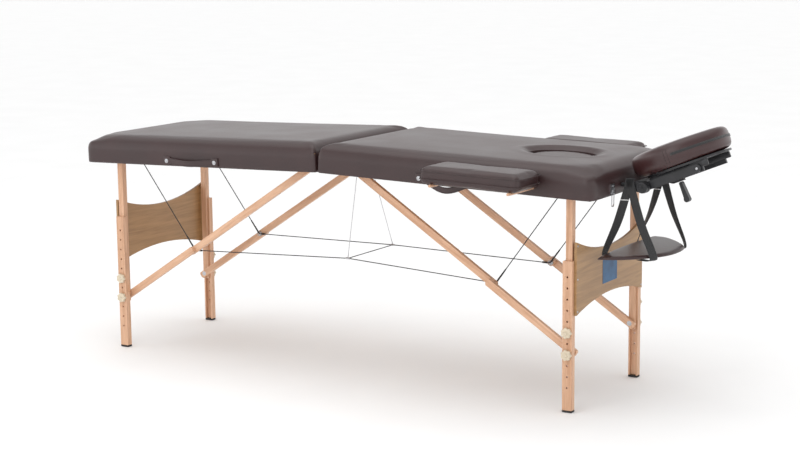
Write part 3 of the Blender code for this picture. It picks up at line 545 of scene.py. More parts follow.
def keep(made, body, nodes=()):
    """Ride on a body and stand for CAD nodes."""
    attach(made, body)
    if nodes:
        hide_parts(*nodes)


def keep_between(made, nodes=()):
    """Fix the object in the row frame where it lies at rest, and stand for CAD nodes."""
    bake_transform(made)
    if nodes:
        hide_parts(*nodes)


def swell(made, cap_distance, pinned):
    """Inflate a closed cover a little with cloth, and keep each point near where it began."""
    start = [v.co.copy() for v in made.data.vertices]
    group = made.vertex_groups.new(name="held")
    held = [i for i, spot in enumerate(start) if pinned(spot)]
    if held:
        group.add(held, 1.0, "REPLACE")
    cloth = made.modifiers.new("cloth", "CLOTH")
    cloth.settings.quality = 4
    cloth.settings.mass = 0.3
    cloth.settings.tension_stiffness = 18.0
    cloth.settings.compression_stiffness = 18.0
    cloth.settings.shear_stiffness = 8.0
    cloth.settings.bending_stiffness = 0.8
    cloth.settings.use_pressure = True
    cloth.settings.uniform_pressure_force = 4.0
    cloth.settings.effector_weights.gravity = 0.0
    if held:
        cloth.settings.vertex_group_mass = "held"
    cloth.point_cache.frame_start = 1
    cloth.point_cache.frame_end = CLOTH_FRAMES
    scene = bpy.context.scene
    for number in range(1, CLOTH_FRAMES + 1):
        scene.frame_set(number)
    graph = bpy.context.evaluated_depsgraph_get()
    moved = [v.co.copy() for v in made.evaluated_get(graph).data.vertices]
    made.modifiers.clear()
    made.vertex_groups.clear()
    for vertex, before, after in zip(made.data.vertices, start, moved):
        step = after - before
        if step.length > cap_distance:
            step *= cap_distance / step.length
        vertex.co = before + step
    scene.frame_set(1)


def subdivide(made):
    """One level of subdivision, fixed into the mesh."""
    surface = made.modifiers.new("subdivision", "SUBSURF")
    surface.levels = surface.render_levels = 1
    apply_modifiers(made)


def tube(name, points, radius, material, sides=10, closed=False):
    """A round tube along points. The radius may be a function of the share of its length."""
    bm = bmesh.new()
    points = [Vector(point) for point in points]
    count = len(points)
    rings, last = [], None
    for i, point in enumerate(points):
        if closed:
            along = (points[(i + 1) % count] - points[i - 1]).normalized()
        else:
            along = (points[min(i + 1, count - 1)] - points[max(i - 1, 0)]).normalized()
        if last is None:
            guide = Vector((0, 0, 1)) if abs(along.z) < NEARLY_UPRIGHT else Vector((1, 0, 0))
            last = along.cross(guide).normalized()
        last = (last - along * last.dot(along)).normalized()
        up = along.cross(last)
        size = radius(i / (count - 1)) if callable(radius) else radius
        spots = [point + (last * math.cos(a) + up * math.sin(a)) * size for a in turns(sides)]
        rings.append([bm.verts.new(spot) for spot in spots])
    bridge(bm, rings, closed)
    if not closed:
        cap(bm, rings)
    return finish_mesh(bm, name, material)


def line_between(start, end, steps):
    """Even points from a start to an end."""
    return [start.lerp(end, i / steps) for i in range(steps + 1)]


def ring_points(centre, radius, count):
    """Points of an upright circle that faces along Y."""
    return [centre + Vector((radius * math.cos(a), 0.0, radius * math.sin(a))) for a in turns(count)]


def ribbon(name, points, widths, thickness, material):
    """A flat strap along points, thinner at its edges. Each width is a vector across the strap."""
    bm = bmesh.new()
    rings = []
    points = [Vector(point) for point in points]
    profile = (
        (-1, -STRAP_THIN), (-STRAP_FLAT, -1), (STRAP_FLAT, -1), (1, -STRAP_THIN),
        (1, STRAP_THIN), (STRAP_FLAT, 1), (-STRAP_FLAT, 1), (-1, STRAP_THIN),
    )
    for i, point in enumerate(points):
        along = (points[min(i + 1, len(points) - 1)] - points[max(i - 1, 0)]).normalized()
        across = Vector(widths[i]) if isinstance(widths, list) else Vector(widths)
        face = along.cross(across.normalized()).normalized() * thickness / 2
        rings.append([bm.verts.new(point + across * edge / 2 + face * flat) for edge, flat in profile])
    bridge(bm, rings)
    cap(bm, rings)
    return finish_mesh(bm, name, material)


def curve_through(spots, steps):
    """A smooth run of points through the given ones."""
    spots = [Vector(spot) for spot in spots]
    padded = [spots[0] * 2 - spots[1]] + spots + [spots[-1] * 2 - spots[-2]]
    out = []
    for a, b, c, d in zip(padded, padded[1:], padded[2:], padded[3:]):
        for i in range(steps):
            t = i / steps
            point = 2 * b + (c - a) * t
            point += (2 * a - 5 * b + 4 * c - d) * t**2
            point += (3 * b - a - 3 * c + d) * t**3
            out.append(0.5 * point)
    out.append(spots[-1])
    return out


def dome_screw(name, place, outwards, radius, body, material=STEEL, washer=0.0, depth=1.0):
    """A round-headed screw with a dimple, and a washer if wanted. A small depth makes it nearly flush."""
    bm = bmesh.new()
    base = WASHER_THICK if washer else 0.0
    profile = []
    if washer:
        profile += [(washer, 0.0), (washer, 0.7 * base), (washer * 0.9, base), (radius * 1.05, base)]
    profile += [(radius * wide, base + radius * high) for wide, high in DOME_PROFILE]
    rings = []
    for size, z in profile:
        rings.append([bm.verts.new((size * math.cos(a), size * math.sin(a), z)) for a in turns(SCREW_SIDES)])
    bridge(bm, rings)
    dip = bm.verts.new((0, 0, base + radius * DIMPLE_HEIGHT))
    for near, far in zip(rings[-1], rings[-1][1:] + rings[-1][:1]):
        bm.faces.new((near, far, dip))
    bm.faces.new(rings[0][::-1])
    facing = Vector(outwards).normalized().to_track_quat("Z", "Y").to_matrix().to_4x4()
    facing = facing @ Matrix.Diagonal((1.0, 1.0, depth, 1.0))
    bmesh.ops.transform(bm, matrix=Matrix.Translation(Vector(place)) @ facing, verts=bm.verts)
    made = finish_mesh(bm, name, material)
    smooth_by_angle(made, 50)
    keep(made, body)


# ---- the padded top

def rounded_block(name, low, high, cells, top_radius, corners, bottom_radius, material):
    """A closed box of square cells with rounded edges. Its upright corners differ at low X and high X."""
    low, high = Vector(low), Vector(high)
    counts = [max(2, round((high[k] - low[k]) / cells)) for k in range(3)]
    nx, ny, nz = counts
    bm = bmesh.new()
    made = {}

    def face(*indices):
        """A face between grid indices, whose vertices are made once."""
        for index in indices:
            if index not in made:
                spot = [low[k] + (high[k] - low[k]) * index[k] / counts[k] for k in range(3)]
                made[index] = bm.verts.new(spot)
        bm.faces.new([made[index] for index in indices])

    for i in range(nx):
        for j in range(ny):
            face((i, j, 0), (i, j + 1, 0), (i + 1, j + 1, 0), (i + 1, j, 0))
            face((i, j, nz), (i + 1, j, nz), (i + 1, j + 1, nz), (i, j + 1, nz))
    for i in range(nx):
        for k in range(nz):
            face((i, 0, k), (i + 1, 0, k), (i + 1, 0, k + 1), (i, 0, k + 1))
            face((i, ny, k), (i, ny, k + 1), (i + 1, ny, k + 1), (i + 1, ny, k))
    for j in range(ny):
        for k in range(nz):
            face((0, j, k), (0, j, k + 1), (0, j + 1, k + 1), (0, j + 1, k))
            face((nx, j, k), (nx, j + 1, k), (nx, j + 1, k + 1), (nx, j, k + 1))
    heart = Vector(((low.x + high.x) / 2, (low.y + high.y) / 2))
    for vert in bm.verts:
        x, y, z = vert.co
        corner_radius = corners[0] if x < (low.x + high.x) / 2 else corners[1]
        inner = Vector((
            min(max(x, low.x + corner_radius), high.x - corner_radius),
            min(max(y, low.y + corner_radius), high.y - corner_radius),
        ))
        away = Vector((x, y)) - inner
        if away.length > TINY:
            x, y = inner + away.normalized() * max(abs(away.x), abs(away.y))
        radius = top_radius if z > (low.z + high.z) / 2 else bottom_radius
        lift = z - min(max(z, low.z + bottom_radius), high.z - top_radius)
        edge_x = min(x - low.x, high.x - x)
        edge_y = min(y - low.y, high.y - y)
        edge = min(edge_x, edge_y)
        if edge_x < corner_radius and edge_y < corner_radius:
            edge = corner_radius - Vector((corner_radius - edge_x, corner_radius - edge_y)).length
        if edge < radius and abs(lift) > TINY:
            inwards = radius - edge
            share = max(inwards, abs(lift)) / math.hypot(inwards, lift)
            z -= math.copysign(abs(lift) - abs(lift) * share, lift)
            push = Vector((
                max(radius - edge_x, 0) * (1 if x < heart.x else -1),
                max(radius - edge_y, 0) * (1 if y < heart.y else -1),
            ))
            if push.length > TINY:
                x, y = Vector((x, y)) + push.normalized() * (inwards - inwards * share)
        vert.co = (x, y, z)
    return finish_mesh(bm, name, material)


def cut(made, tool):
    """Take the tool's shape out of a mesh, and remove the tool."""
    step = made.modifiers.new("cut", "BOOLEAN")
    step.operation = "DIFFERENCE"
    step.solver = "EXACT"
    step.object = tool
    apply_modifiers(made)
    bpy.data.objects.remove(tool, do_unlink=True)


def oval(bm, long, wide, z):
    """A ring of vertices round the face hole's centre."""
    return [bm.verts.new((HOLE_X + long * math.cos(a), wide * math.sin(a), z)) for a in turns(OVAL_SIDES)]


def well_column():
    """The face hole as a solid, to cut out of the cover."""
    bm = bmesh.new()
    rings = [oval(bm, HOLE_LONG, HOLE_WIDE, z) for z in WELL_Z]
    bridge(bm, rings)
    cap(bm, rings)
    return finish_mesh(bm, "well", VINYL, smooth=False)


def plain_box(name, low, high, material):
    """A box between two corners."""
    bm = bmesh.new()
    bmesh.ops.create_cube(bm, size=1.0)
    for vert in bm.verts:
        vert.co = [low[k] if vert.co[k] < 0 else high[k] for k in range(3)]
    return finish_mesh(bm, name, material, smooth=False)


def round_rectangle(low, high, radii, out=0.0, steps=6):
    """Points round a rectangle with round corners, whose radii differ at low X and high X."""
    near, far = radii
    corners = (
        (low[0] + near, low[1] + near, near, 180),
        (high[0] - far, low[1] + far, far, 270),
        (high[0] - far, high[1] - far, far, 0),
        (low[0] + near, high[1] - near, near, 90),
    )
    spots = []
    for x, y, radius, start in corners:
        for i in range(steps + 1):
            turn = math.radians(start + 90 * i / steps)
            spots.append((x + (radius + out) * math.cos(turn), y + (radius + out) * math.sin(turn)))
    return spots


def half_corners(sign):
    """The upright corners' radii at low X and high X: tight at the seam, wide at the table's end."""
    return (SEAM_CORNER, END_CORNER) if sign > 0 else (END_CORNER, SEAM_CORNER)


def hollow_column(sign):
    """The space under the foam, where the frame and deck are."""
    low, high = sorted((sign * (SEAM_GAP + SKIRT), sign * (HALF_LENGTH - SKIRT)))
    y = HALF_WIDTH - SKIRT
    outline = round_rectangle((low, -y), (high, y), [radius - SKIRT for radius in half_corners(sign)])
    bm = bmesh.new()
    base = bm.faces.new([bm.verts.new((*spot, -HOLLOW_BELOW)) for spot in outline])
    copied = bmesh.ops.extrude_face_region(bm, geom=[base])["geom"]
    moved = [v for v in copied if isinstance(v, bmesh.types.BMVert)]
    bmesh.ops.translate(bm, vec=(0, 0, FLOOR_OF_FOAM + HOLLOW_BELOW), verts=moved)
    return finish_mesh(bm, "hollow", VINYL, smooth=False)


def table_top(name, sign):
    """One half's foam and cover: a soft crowned top that wraps down over the frame and is open below."""
    low, high = sorted((sign * SEAM_GAP, sign * HALF_LENGTH))
    cover = rounded_block(
        f"{name}_top_cover",
        (low, -HALF_WIDTH, -HEM),
        (high, HALF_WIDTH, SIDE_HEIGHT - COVER_BELOW_TOP),
        COVER_CELL,
        TOP_EDGE,
        half_corners(sign),
        HEM_RADIUS,
        VINYL,
    )
    swell(cover, COVER_SWELL, lambda spot: spot.z < COVER_HELD)
    for vert in cover.data.vertices:
        inner_x = min(vert.co.x - low, high - vert.co.x)
        inner_y = HALF_WIDTH - abs(vert.co.y)
        if vert.co.z > CROWN_ABOVE:
            share = min(max(min(inner_x, inner_y), 0.0) / CROWN_REACH, 1.0)
            vert.co.z += CROWN_RISE * share
        droop_corner(vert, sign)
        seam = abs(vert.co.x - sign * SEAM_GAP)
        if seam < SEAM_REACH and vert.co.z > SEAM_ABOVE:
            vert.co.x += sign * SEAM_LEAN * (1 - seam / SEAM_REACH) * min(vert.co.z / SIDE_HEIGHT, 1.0)
        vert.co.x = min(max(vert.co.x, low if sign > 0 else low - BULGE), high + BULGE if sign > 0 else high)
    if sign > 0:
        press_hole(cover)
    subdivide(cover)
    cut(cover, hollow_column(sign))
    if sign > 0:
        cut(cover, well_column())
    smooth_by_angle(cover, 50)
    cover.data.transform(half_matrix(sign))
    keep(cover, f"{name}_half", [f"{name}_pad"])


def droop_corner(vert, sign):
    """The stretched cover pulls the foam down at the two corners of the table's end."""
    from_end = HALF_LENGTH - sign * vert.co.x
    from_side = HALF_WIDTH - abs(vert.co.y)
    height = min(max((vert.co.z - DROOP_FROM) / (SIDE_HEIGHT - DROOP_FROM), 0.0), 1.0)
    if from_end > DROOP_REACH or from_side > DROOP_REACH or height == 0.0:
        return
    end_share = 1 - from_end / DROOP_REACH
    side_share = 1 - from_side / DROOP_REACH
    near = end_share**DROOP_POWER * side_share**DROOP_POWER * height**DROOP_POWER
    vert.co.z -= DROOP_FALL * near
    vert.co.x -= sign * DROOP_IN * near
    vert.co.y -= math.copysign(DROOP_IN * near, vert.co.y)


def press_hole(cover):
    """The cover rolls down into the face hole, with a low swelling round it."""
    for vert in cover.data.vertices:
        if vert.co.z < CROWN_ABOVE:
            continue
        along = (vert.co.x - HOLE_X) / (HOLE_LONG + HOLE_ROLL)
        reach = math.hypot(along, vert.co.y / (HOLE_WIDE + HOLE_ROLL))
        if reach < 1.0:
            vert.co.z -= HOLE_DIP * (1.0 - reach**6) ** 0.5
        elif reach < 1.0 + HOLE_SWELL_REACH:
            vert.co.z += HOLE_SWELL * math.sin(math.pi * (reach - 1.0) / HOLE_SWELL_REACH)


def face_plug():
    """The plug of the face hole: a small oval cushion that sits a little below the rim."""
    low, high = FLOOR_OF_FOAM + PLUG_GAP, SIDE_HEIGHT - PLUG_SUNK
    profile = [(size, low + rise) for size, rise in PLUG_BASE]
    profile += [(size, high + rise) for size, rise in PLUG_CROWN]
    long, wide = HOLE_LONG - PLUG_CLEAR, HOLE_WIDE - PLUG_CLEAR
    bm = bmesh.new()
    rings = [oval(bm, long * size, wide * size, z) for size, z in profile]
    bridge(bm, rings)
    cap(bm, rings)
    plug = finish_mesh(bm, "face_plug_cushion", VINYL)
    subdivide(plug)
    plug.data.transform(half_matrix(1))
    plug.data.shade_smooth()
    keep(plug, "face_plug_body", ["face_plug"])


# ---- small padded pieces

def armrest(sy, word):
    """A side armrest: a padded bar on two dowels, with a sewn edge round its upper and lower faces."""
    near, far = sorted(sy * y for y in ARMREST_Y)
    low, high = (ARMREST_X[0], near, ARMREST_Z[0]), (ARMREST_X[1], far, ARMREST_Z[1])
    corners = (ARMREST_CORNER, ARMREST_CORNER)
    pad = rounded_block(
        f"armrest_cushion_{word}", low, high, ARMREST_CELL, ARMREST_TOP_EDGE, corners, ARMREST_LOW_EDGE, VINYL
    )
    swell(pad, ARMREST_SWELL, lambda spot: False)
    subdivide(pad)
    pad.data.transform(half_matrix(1))
    pad.data.shade_smooth()
    keep(pad, f"armrest_{word}", [f"armrest_pad_{word}"])
    for number, x in enumerate(DOWEL_X):
        spots = [(x, sy * (DOWEL_FROM_Y + DOWEL_STEP * i), DOWEL_Z) for i in range(11)]
        line = [half_matrix(1) @ Vector(spot) for spot in spots]
        dowel = tube(
            f"armrest_dowel_{number}_{word}",
            line,
            lambda t: DOWEL_RADIUS if t < DOWEL_TIP_FROM else DOWEL_TIP_RADIUS,
            BEECH_X,
            14,
        )
        smooth_by_angle(dowel, 40)
        keep(dowel, f"armrest_{word}", [f"armrest_board_{word}"])
    outline = round_rectangle(low, high, corners, SEAM_PROUD, 8)
    for level, height in ARMREST_SEAMS:
        line = [half_matrix(1) @ Vector((x, y, height)) for x, y in outline]
        seam = tube(f"armrest_seam_{level}_{word}", line, SEAM_RADIUS, THREAD, 6, closed=True)
        keep(seam, f"armrest_{word}")


def arm_shelf():
    """The hanging arm shelf: a thin padded crescent with a sewn edge."""
    low_corner, high_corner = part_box("arm_shelf")
    half = (high_corner[1] - low_corner[1]) / 2
    front, back = high_corner[0], low_corner[0]
    middle_z = (low_corner[2] + high_corner[2]) / 2
    bm = bmesh.new()
    grid = {}
    for i in range(SHELF_STEPS + 1):
        y = -half * math.cos(math.pi * i / SHELF_STEPS)
        share = min(abs(y) / half, 1.0)
        ahead = back + SHELF_HOLLOW + (front - back - SHELF_HOLLOW) * (1 - share**SHELF_FRONT_POWER)
        behind = back + SHELF_HOLLOW - SHELF_HOLLOW * (1 - share**2)
        for j in range(SHELF_ROWS + 1):
            x = behind + (ahead - behind) * j / SHELF_ROWS
            edge = min(1 - abs(2 * j / SHELF_ROWS - 1), 1 - share) * SHELF_EDGE_SLOPE
            puff = SHELF_PUFF * math.sqrt(min(edge, 1.0)) if edge > 0 else 0.0
            for level, flat in ((-1, SHELF_BELOW), (1, 1.0)):
                grid[i, j, level] = bm.verts.new((x, y, middle_z + level * puff * flat))
    for i in range(SHELF_STEPS):
        for j in range(SHELF_ROWS):
            for level in (-1, 1):
                indices = ((i, j), (i + 1, j), (i + 1, j + 1), (i, j + 1))
                corners = [grid[a, b, level] for a, b in indices]
                bm.faces.new(corners if level < 0 else corners[::-1])
    bmesh.ops.remove_doubles(bm, verts=bm.verts, dist=WELD)
    shelf = finish_mesh(bm, "arm_shelf_cushion", VINYL)
    subdivide(shelf)
    shelf.data.shade_smooth()
    keep(shelf, "arm_sling", ["arm_shelf"])


def face_cushion():
    """The horseshoe face cushion, with a zip round its outer side, and the platform's rails."""
    matrix = headrest_matrix()
    bm = bmesh.new()
    start = math.asin(FACE_GAP / FACE_GAP_RADIUS)
    rings = []
    for i in range(FACE_STEPS + 1):
        turn = -math.pi + start + (2 * math.pi - 2 * start) * i / FACE_STEPS
        outer = Vector((FACE_LONG * math.cos(turn), FACE_WIDE * math.sin(turn)))
        inner = Vector((FACE_HOLE_LONG * math.cos(turn), FACE_HOLE_WIDE * math.sin(turn)))
        middle, reach = (outer + inner) / 2, (outer - inner) / 2
        fade = min(min(i, FACE_STEPS - i) / FACE_FADE_STEPS, 1.0)
        squeeze = math.sqrt(max(1 - (1 - fade) ** 2, FACE_END_SQUEEZE))
        rings.append([])
        for around in turns(FACE_SIDES):
            c, s = math.cos(around), math.sin(around)
            flat = math.copysign(abs(c) ** FACE_FLAT_POWER, c)
            tall = math.copysign(abs(s) ** FACE_TALL_POWER, s)
            spot = middle + reach * flat * (1 - FACE_NARROWING + FACE_NARROWING * squeeze)
            rings[-1].append(bm.verts.new((spot.x, spot.y, FACE_THICK / 2 * (1 + tall * squeeze))))
    bridge(bm, rings)
    cap(bm, rings)
    cushion = finish_mesh(bm, "face_cushion_cover", VINYL_RED)
    swell(cushion, FACE_SWELL, lambda spot: spot.z < FACE_HELD)
    subdivide(cushion)
    place = matrix @ Matrix.Translation((FACE_X, 0.0, FACE_Z))
    cushion.data.transform(place)
    cushion.data.shade_smooth()
    keep(cushion, "headrest_platform_body", ["face_cushion"])
    bm = bmesh.new()
    bm.from_mesh(cushion.data)
    surface = BVHTree.FromBMesh(bm)
    bm.free()

    def on_side(degrees, share, proud):
        """A point on the cushion's outer side at a share of its height, found from outside."""
        turn = math.radians(degrees)
        away = Vector((math.cos(turn), math.sin(turn), 0.0))
        outside = place @ (away * 0.30 + Vector((0.0, 0.0, FACE_THICK * share)))
        inwards = (place.to_3x3() @ -away).normalized()
        hit = surface.ray_cast(outside, inwards)[0]
        return hit - inwards * proud

    normal = (matrix.to_3x3() @ Vector((0, 0, 1))).normalized()
    line = [on_side(ZIP_DEGREES * (i / 30 - 1), ZIP_HEIGHT, 0.0004) for i in range(61)]
    band = ribbon("face_cushion_zip", line, normal * ZIP_WIDE, ZIP_THICK, ZIP)
    keep(band, "headrest_platform_body")
    for number, degrees in enumerate(FACE_SEAM_DEGREES):
        line = [on_side(degrees, 0.20 + 0.06 * i, 0.0001) for i in range(11)]
        seam = tube(f"face_cushion_seam_{number}", line, FACE_SEAM_RADIUS, THREAD, 6)
        keep(seam, "headrest_platform_body")
    for sy, word in SIDES:
        rail = plain_box(f"platform_rail_{word}", RAIL_LOW, RAIL_HIGH, BLACK)
        if sy < 0:
            rail.data.transform(Matrix.Scale(-1, 4, Vector((0, 1, 0))))
            rail.data.flip_normals()
        round_edges(rail, 0.0025, 3)
        smooth_by_angle(rail, 40)
        rail.data.transform(matrix)
        keep(rail, "headrest_platform_body")


def headrest_matrix():
    """The platform's frame: its origin at the rivet, its X along the arms."""
    hub = Vector(JOINTS["headrest_tilt"]["pos_m"])
    rivet = Vector(JOINTS["headrest_platform_tilt"]["pos_m"])
    along = (rivet - hub).normalized()
    up = Vector((0, -1, 0)).cross(along) * -1
    up = up if up.z > 0 else -up
    return Matrix((
        (along.x, 0.0, up.x, rivet.x),
        (along.y, 1.0, up.y, rivet.y),
        (along.z, 0.0, up.z, rivet.z),
        (0.0, 0.0, 0.0, 1.0),
    ))


# ---- straps, handles, cables

def sling_straps():
    """Four webbing runs: a pair hangs over each side arm of the headrest and holds the shelf's ends."""
    top = Vector(JOINTS["arm_sling_swing"]["pos_m"])
    low_corner, high_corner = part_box("sling_strap_left")
    shelf_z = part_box("arm_shelf")[0][2]
    feet = {"back": low_corner[0] + SLING_BACK_IN, "front": high_corner[0] - SLING_FRONT_IN}
    for sy, word in SIDES:
        y = sy * SLING_Y
        for run, under, lean, foot_way in SLING_RUNS:
            foot_x = feet[run]
            reach = foot_x - top.x
            # Over the side arm, down beside it, and turned in under the shelf
            spots = [
                (top.x, sy * SLING_START_Y, top.z + 0.0080),
                (top.x, y, top.z + 0.0064),
                (top.x + reach * 0.12, y + sy * 0.001, top.z - 0.030),
                (top.x + reach * 0.55 + lean, y + sy * 0.002, top.z - 0.120),
                (foot_x, y + sy * 0.001, shelf_z + 0.016),
                (foot_x + under * 0.004, y, shelf_z - 0.0018),
                (foot_x + under * 0.040, y - sy * 0.002, shelf_z - 0.0024),
            ]
            line = curve_through(spots, 7)
            across = Vector((foot_way[0], foot_way[1] * sy, 0.0))
            widths = []
            for i in range(len(line)):
                turned = min(max((i / (len(line) - 1) - TWIST_FROM) / TWIST_OVER, 0.0), 1.0)
                widths.append(Vector((1.0, 0.0, 0.0)).lerp(across, turned).normalized() * SLING_WIDE)
            strap = ribbon(f"sling_strap_{run}_{word}", line, widths, SLING_THICK, WEBBING)
            keep(strap, "arm_sling", [f"sling_strap_{word}"])
            if run == "back":
                along = (line[STITCH_AT + 1] - line[STITCH_AT - 1]).normalized() * STITCH_REACH
                ends = [line[STITCH_AT] - along, line[STITCH_AT] + along]
                across = widths[STITCH_AT] * STITCH_WIDER
                stitch = ribbon(f"sling_stitch_{word}", ends, across, STITCH_THICK, WHITE_THREAD)
                keep(stitch, "arm_sling")


def handle(name, sign, first, second, sag):
    """A carry handle: a folded vinyl strap between two screws, with a square tab at each."""
    y = -HALF_WIDTH - HANDLE_OUT
    matrix = half_matrix(sign)
    upright = (matrix.to_3x3() @ Vector((0, 0, 1))).normalized()
    points = []
    for i in range(HANDLE_STEPS + 1):
        share = i / HANDLE_STEPS
        x = sign * (first - HANDLE_PAST + (second - first + 2 * HANDLE_PAST) * share)
        inside = min(max((share - HANDLE_FLAT) / (1 - 2 * HANDLE_FLAT), 0.0), 1.0)
        fall = sag * math.sin(math.pi * inside) ** 1.4
        bow = HANDLE_BOW * math.sin(math.pi * inside) ** 1.2
        points.append(matrix @ Vector((x, y - bow, HANDLE_Z - fall)))
    for number, x in enumerate((first, second)):
        tab = plain_box(
            f"{name}_handle_tab_{number}",
            (sign * x - TAB_HALF, y - TAB_OUT, TAB_Z[0]),
            (sign * x + TAB_HALF, y + TAB_IN, TAB_Z[1]),
            VINYL,
        )
        round_edges(tab, 0.0016, 3)
        smooth_by_angle(tab, 40)
        tab.data.transform(matrix)
        keep(tab, f"{name}_half")
    strap = ribbon(f"{name}_handle_strap", points, upright * HANDLE_WIDE, HANDLE_THICK, VINYL)
    subdivide(strap)
    keep(strap, f"{name}_half", [f"{name}_handle"])
    for edge, level in ((-1, "low"), (1, "high")):
        offset = upright * edge * HANDLE_STITCH + Vector((0, -SCREW_OUT, 0))
        line = [point + offset for point in points[2:-2]]
        stitches = tube(f"{name}_handle_stitch_{level}", line, STITCH_RADIUS, THREAD, 6)
        keep(stitches, f"{name}_half")
    for number, x in enumerate((first, second)):
        place = matrix @ Vector((sign * x, y - SCREW_OUT, HANDLE_Z))
        dome_screw(f"{name}_handle_screw_{number}", place, (0, -1, 0), 0.0044, f"{name}_half", washer=0.0068)


def knee_points():
    """Where the braces' knees are at rest, on the table's middle plane."""
    knees = {}
    for name, _ in HALVES:
        foot = Vector(JOINTS[f"{name}_lower_brace_fold"]["pos_m"])
        root = Vector(JOINTS[f"{name}_upper_brace_fold"]["pos_m"])
        pivot = Vector(JOINTS[f"{name}_legs_fold"]["pos_m"])
        brace = foot - root
        folded = abs((pivot - HINGE).x) / math.cos(TILT) - (pivot.z - foot.z) - abs((root - HINGE).x)
        knees[name] = root + brace.normalized() * (brace.length + folded) / 2
    return knees


def cable(name, line, bodies=None, radius=CABLE_RADIUS, material=CABLE):
    """A cable along points: on the head half, or fixed in the row frame where it lies at rest when bodies are
    given.
    """
    made = tube(name, line, radius, material, 8)
    if bodies:
        keep_between(made, ["cable_net"])
    else:
        keep(made, "head_half", ["cable_net"])


def cables(knees):
    """The bracing cables with their sleeves, crimps and rings."""
    junctions = [Vector((HINGE.x + JUNCTION[0], sy * JUNCTION[1], JUNCTION[2])) for sy, _ in SIDES]
    for (sy, word), junction in zip(SIDES, junctions):
        for name, sign in HALVES:
            braces = f"{name}_upper_braces"
            knee = Vector((knees[name].x, sy * CABLE_Y, knees[name].z))
            anchor = world(sign, ANCHOR_X, ANCHOR_Z, sy * CABLE_Y)
            cable(f"{name}_end_cable_{word}", line_between(anchor, knee, 24), (f"{name}_half", braces))
            along = (anchor - knee).normalized()
            line = [knee + along * (0.006 + 0.005 * i) for i in range(11)]
            sleeve = tube(
                f"{name}_sleeve_{word}", line, lambda t: SLEEVE_RADIUS - SLEEVE_TAPER * t, RUBBER, 10
            )
            keep_between(sleeve)
            along = (junction - knee).normalized()
            line = [knee + along * (0.010 + 0.004 * i) for i in range(5)]
            crimp = tube(f"{name}_knee_crimp_{word}", line, CRIMP_RADIUS, RUBBER, 10)
            keep(crimp, braces)
            line = ring_points(knee, RING_RADIUS, 20)
            ring = tube(f"{name}_knee_ring_{word}", line, RING_WIRE, STEEL, 8, closed=True)
            keep(ring, braces)
            # The foot half's cable is in two runs, one from the braces' knee and one on to the junction
            line = line_between(knee, junction, 2 * RUN_STEPS)
            runs = {
                "head": [("head_middle", line, ("head_half", braces))],
                "foot": [
                    ("foot_outer", line[:RUN_STEPS + 1], ("foot_half", braces)),
                    ("foot_inner", line[RUN_STEPS:], ("head_half", "foot_half")),
                ],
            }
            for run_name, points, bodies in runs[name]:
                run = tube(f"{run_name}_cable_{word}", points, CABLE_RADIUS, CABLE, 8)
                keep_between(run, ["cable_net"])
        line = [junction + Vector((0.004 * (i - 2), 0, 0)) for i in range(5)]
        ferrule = tube(f"junction_ferrule_{word}", line, CRIMP_RADIUS, STEEL, 10)
        keep(ferrule, "head_half")
    right, left = junctions
    cable("cross_cable", line_between(right, left, 12))
    front = world(1, HANGERS["right"], ANCHOR_Z, -HANGER_Y)
    line = line_between(right, front, 16)
    cable("hanger_right", line, None, HANGER_RADIUS, STEEL)
    back = world(-1, HANGERS["left"], ANCHOR_Z, HANGER_Y)
    line = line_between(left, back, 16)
    cable("hanger_left", line, ("head_half", "foot_half"), HANGER_RADIUS, STEEL)


# ---- wood, screws, knobs

def finish_cad():
    """Materials and softened edges for the CAD nodes that stay."""
    brace_look = {}
    for name, _ in HALVES:
        foot = Vector(JOINTS[f"{name}_lower_brace_fold"]["pos_m"])
        run = foot - Vector(JOINTS[f"{name}_upper_brace_fold"]["pos_m"])
        angle = math.atan2(run.z, run.x)
        brace_look[name] = timber(f"beech_brace_{name}", (0.52, 0.28, 0.160), (0.72, 0.45, 0.290), angle)
    for name, made in NODES.items():
        if made.hide_render:
            continue
        look, edge = next(row[1:] for row in CAD_LOOKS if any(word in name for word in row[0]))
        if look is None:
            look = brace_look["head" if name.startswith("head") else "foot"]
        made.data.materials.clear()
        made.data.materials.append(look)
        if edge:
            rounding = made.modifiers.new("edges", "BEVEL")
            rounding.width = edge
            rounding.segments = 2
            rounding.limit_method = "ANGLE"
            rounding.angle_limit = math.radians(40)
            rounding.harden_normals = False


def fasteners(knees):
    """Screws on the panels, bolts on the braces and the caps of the knobs."""
    for name, sign in HALVES:
        panel_low, panel_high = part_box(f"{name}_end_panel")
        face = panel_high[0] if sign > 0 else panel_low[0]
        foot = Vector(JOINTS[f"{name}_lower_brace_fold"]["pos_m"])
        knee = knees[name]
        for sy, word in SIDES:
            inwards = (0, -sy, 0)
            for number, z in enumerate(PANEL_SCREW_Z):
                place = (face, sy * PANEL_SCREW_Y, z)
                dome_screw(f"{name}_panel_screw_{word}_{number}", place, (sign, 0, 0), 0.0030, f"{name}_legs")
            place = (foot.x, sy * BRACE_BOLT_Y, foot.z)
            body = f"{name}_lower_braces"
            dome_screw(f"{name}_brace_bolt_{word}", place, inwards, 0.0050, body, washer=0.0080, depth=FLUSH)
            place = (knee.x, sy * KNEE_BOLT_Y, knee.z)
            body = f"{name}_upper_braces"
            dome_screw(f"{name}_knee_bolt_{word}", place, inwards, 0.0045, body, washer=0.0075)
            for number in (1, 2):
                node = f"{name}_knob_{word}_{number}"
                centre = JOINTS[f"{node}_turn"]["pos_m"]
                low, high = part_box(node)
                place = (centre[0], high[1] if sy > 0 else low[1], centre[2])
                dome_screw(f"{node}_cap", place, (0, sy, 0), 0.0060, f"{node}_body", KNOB)


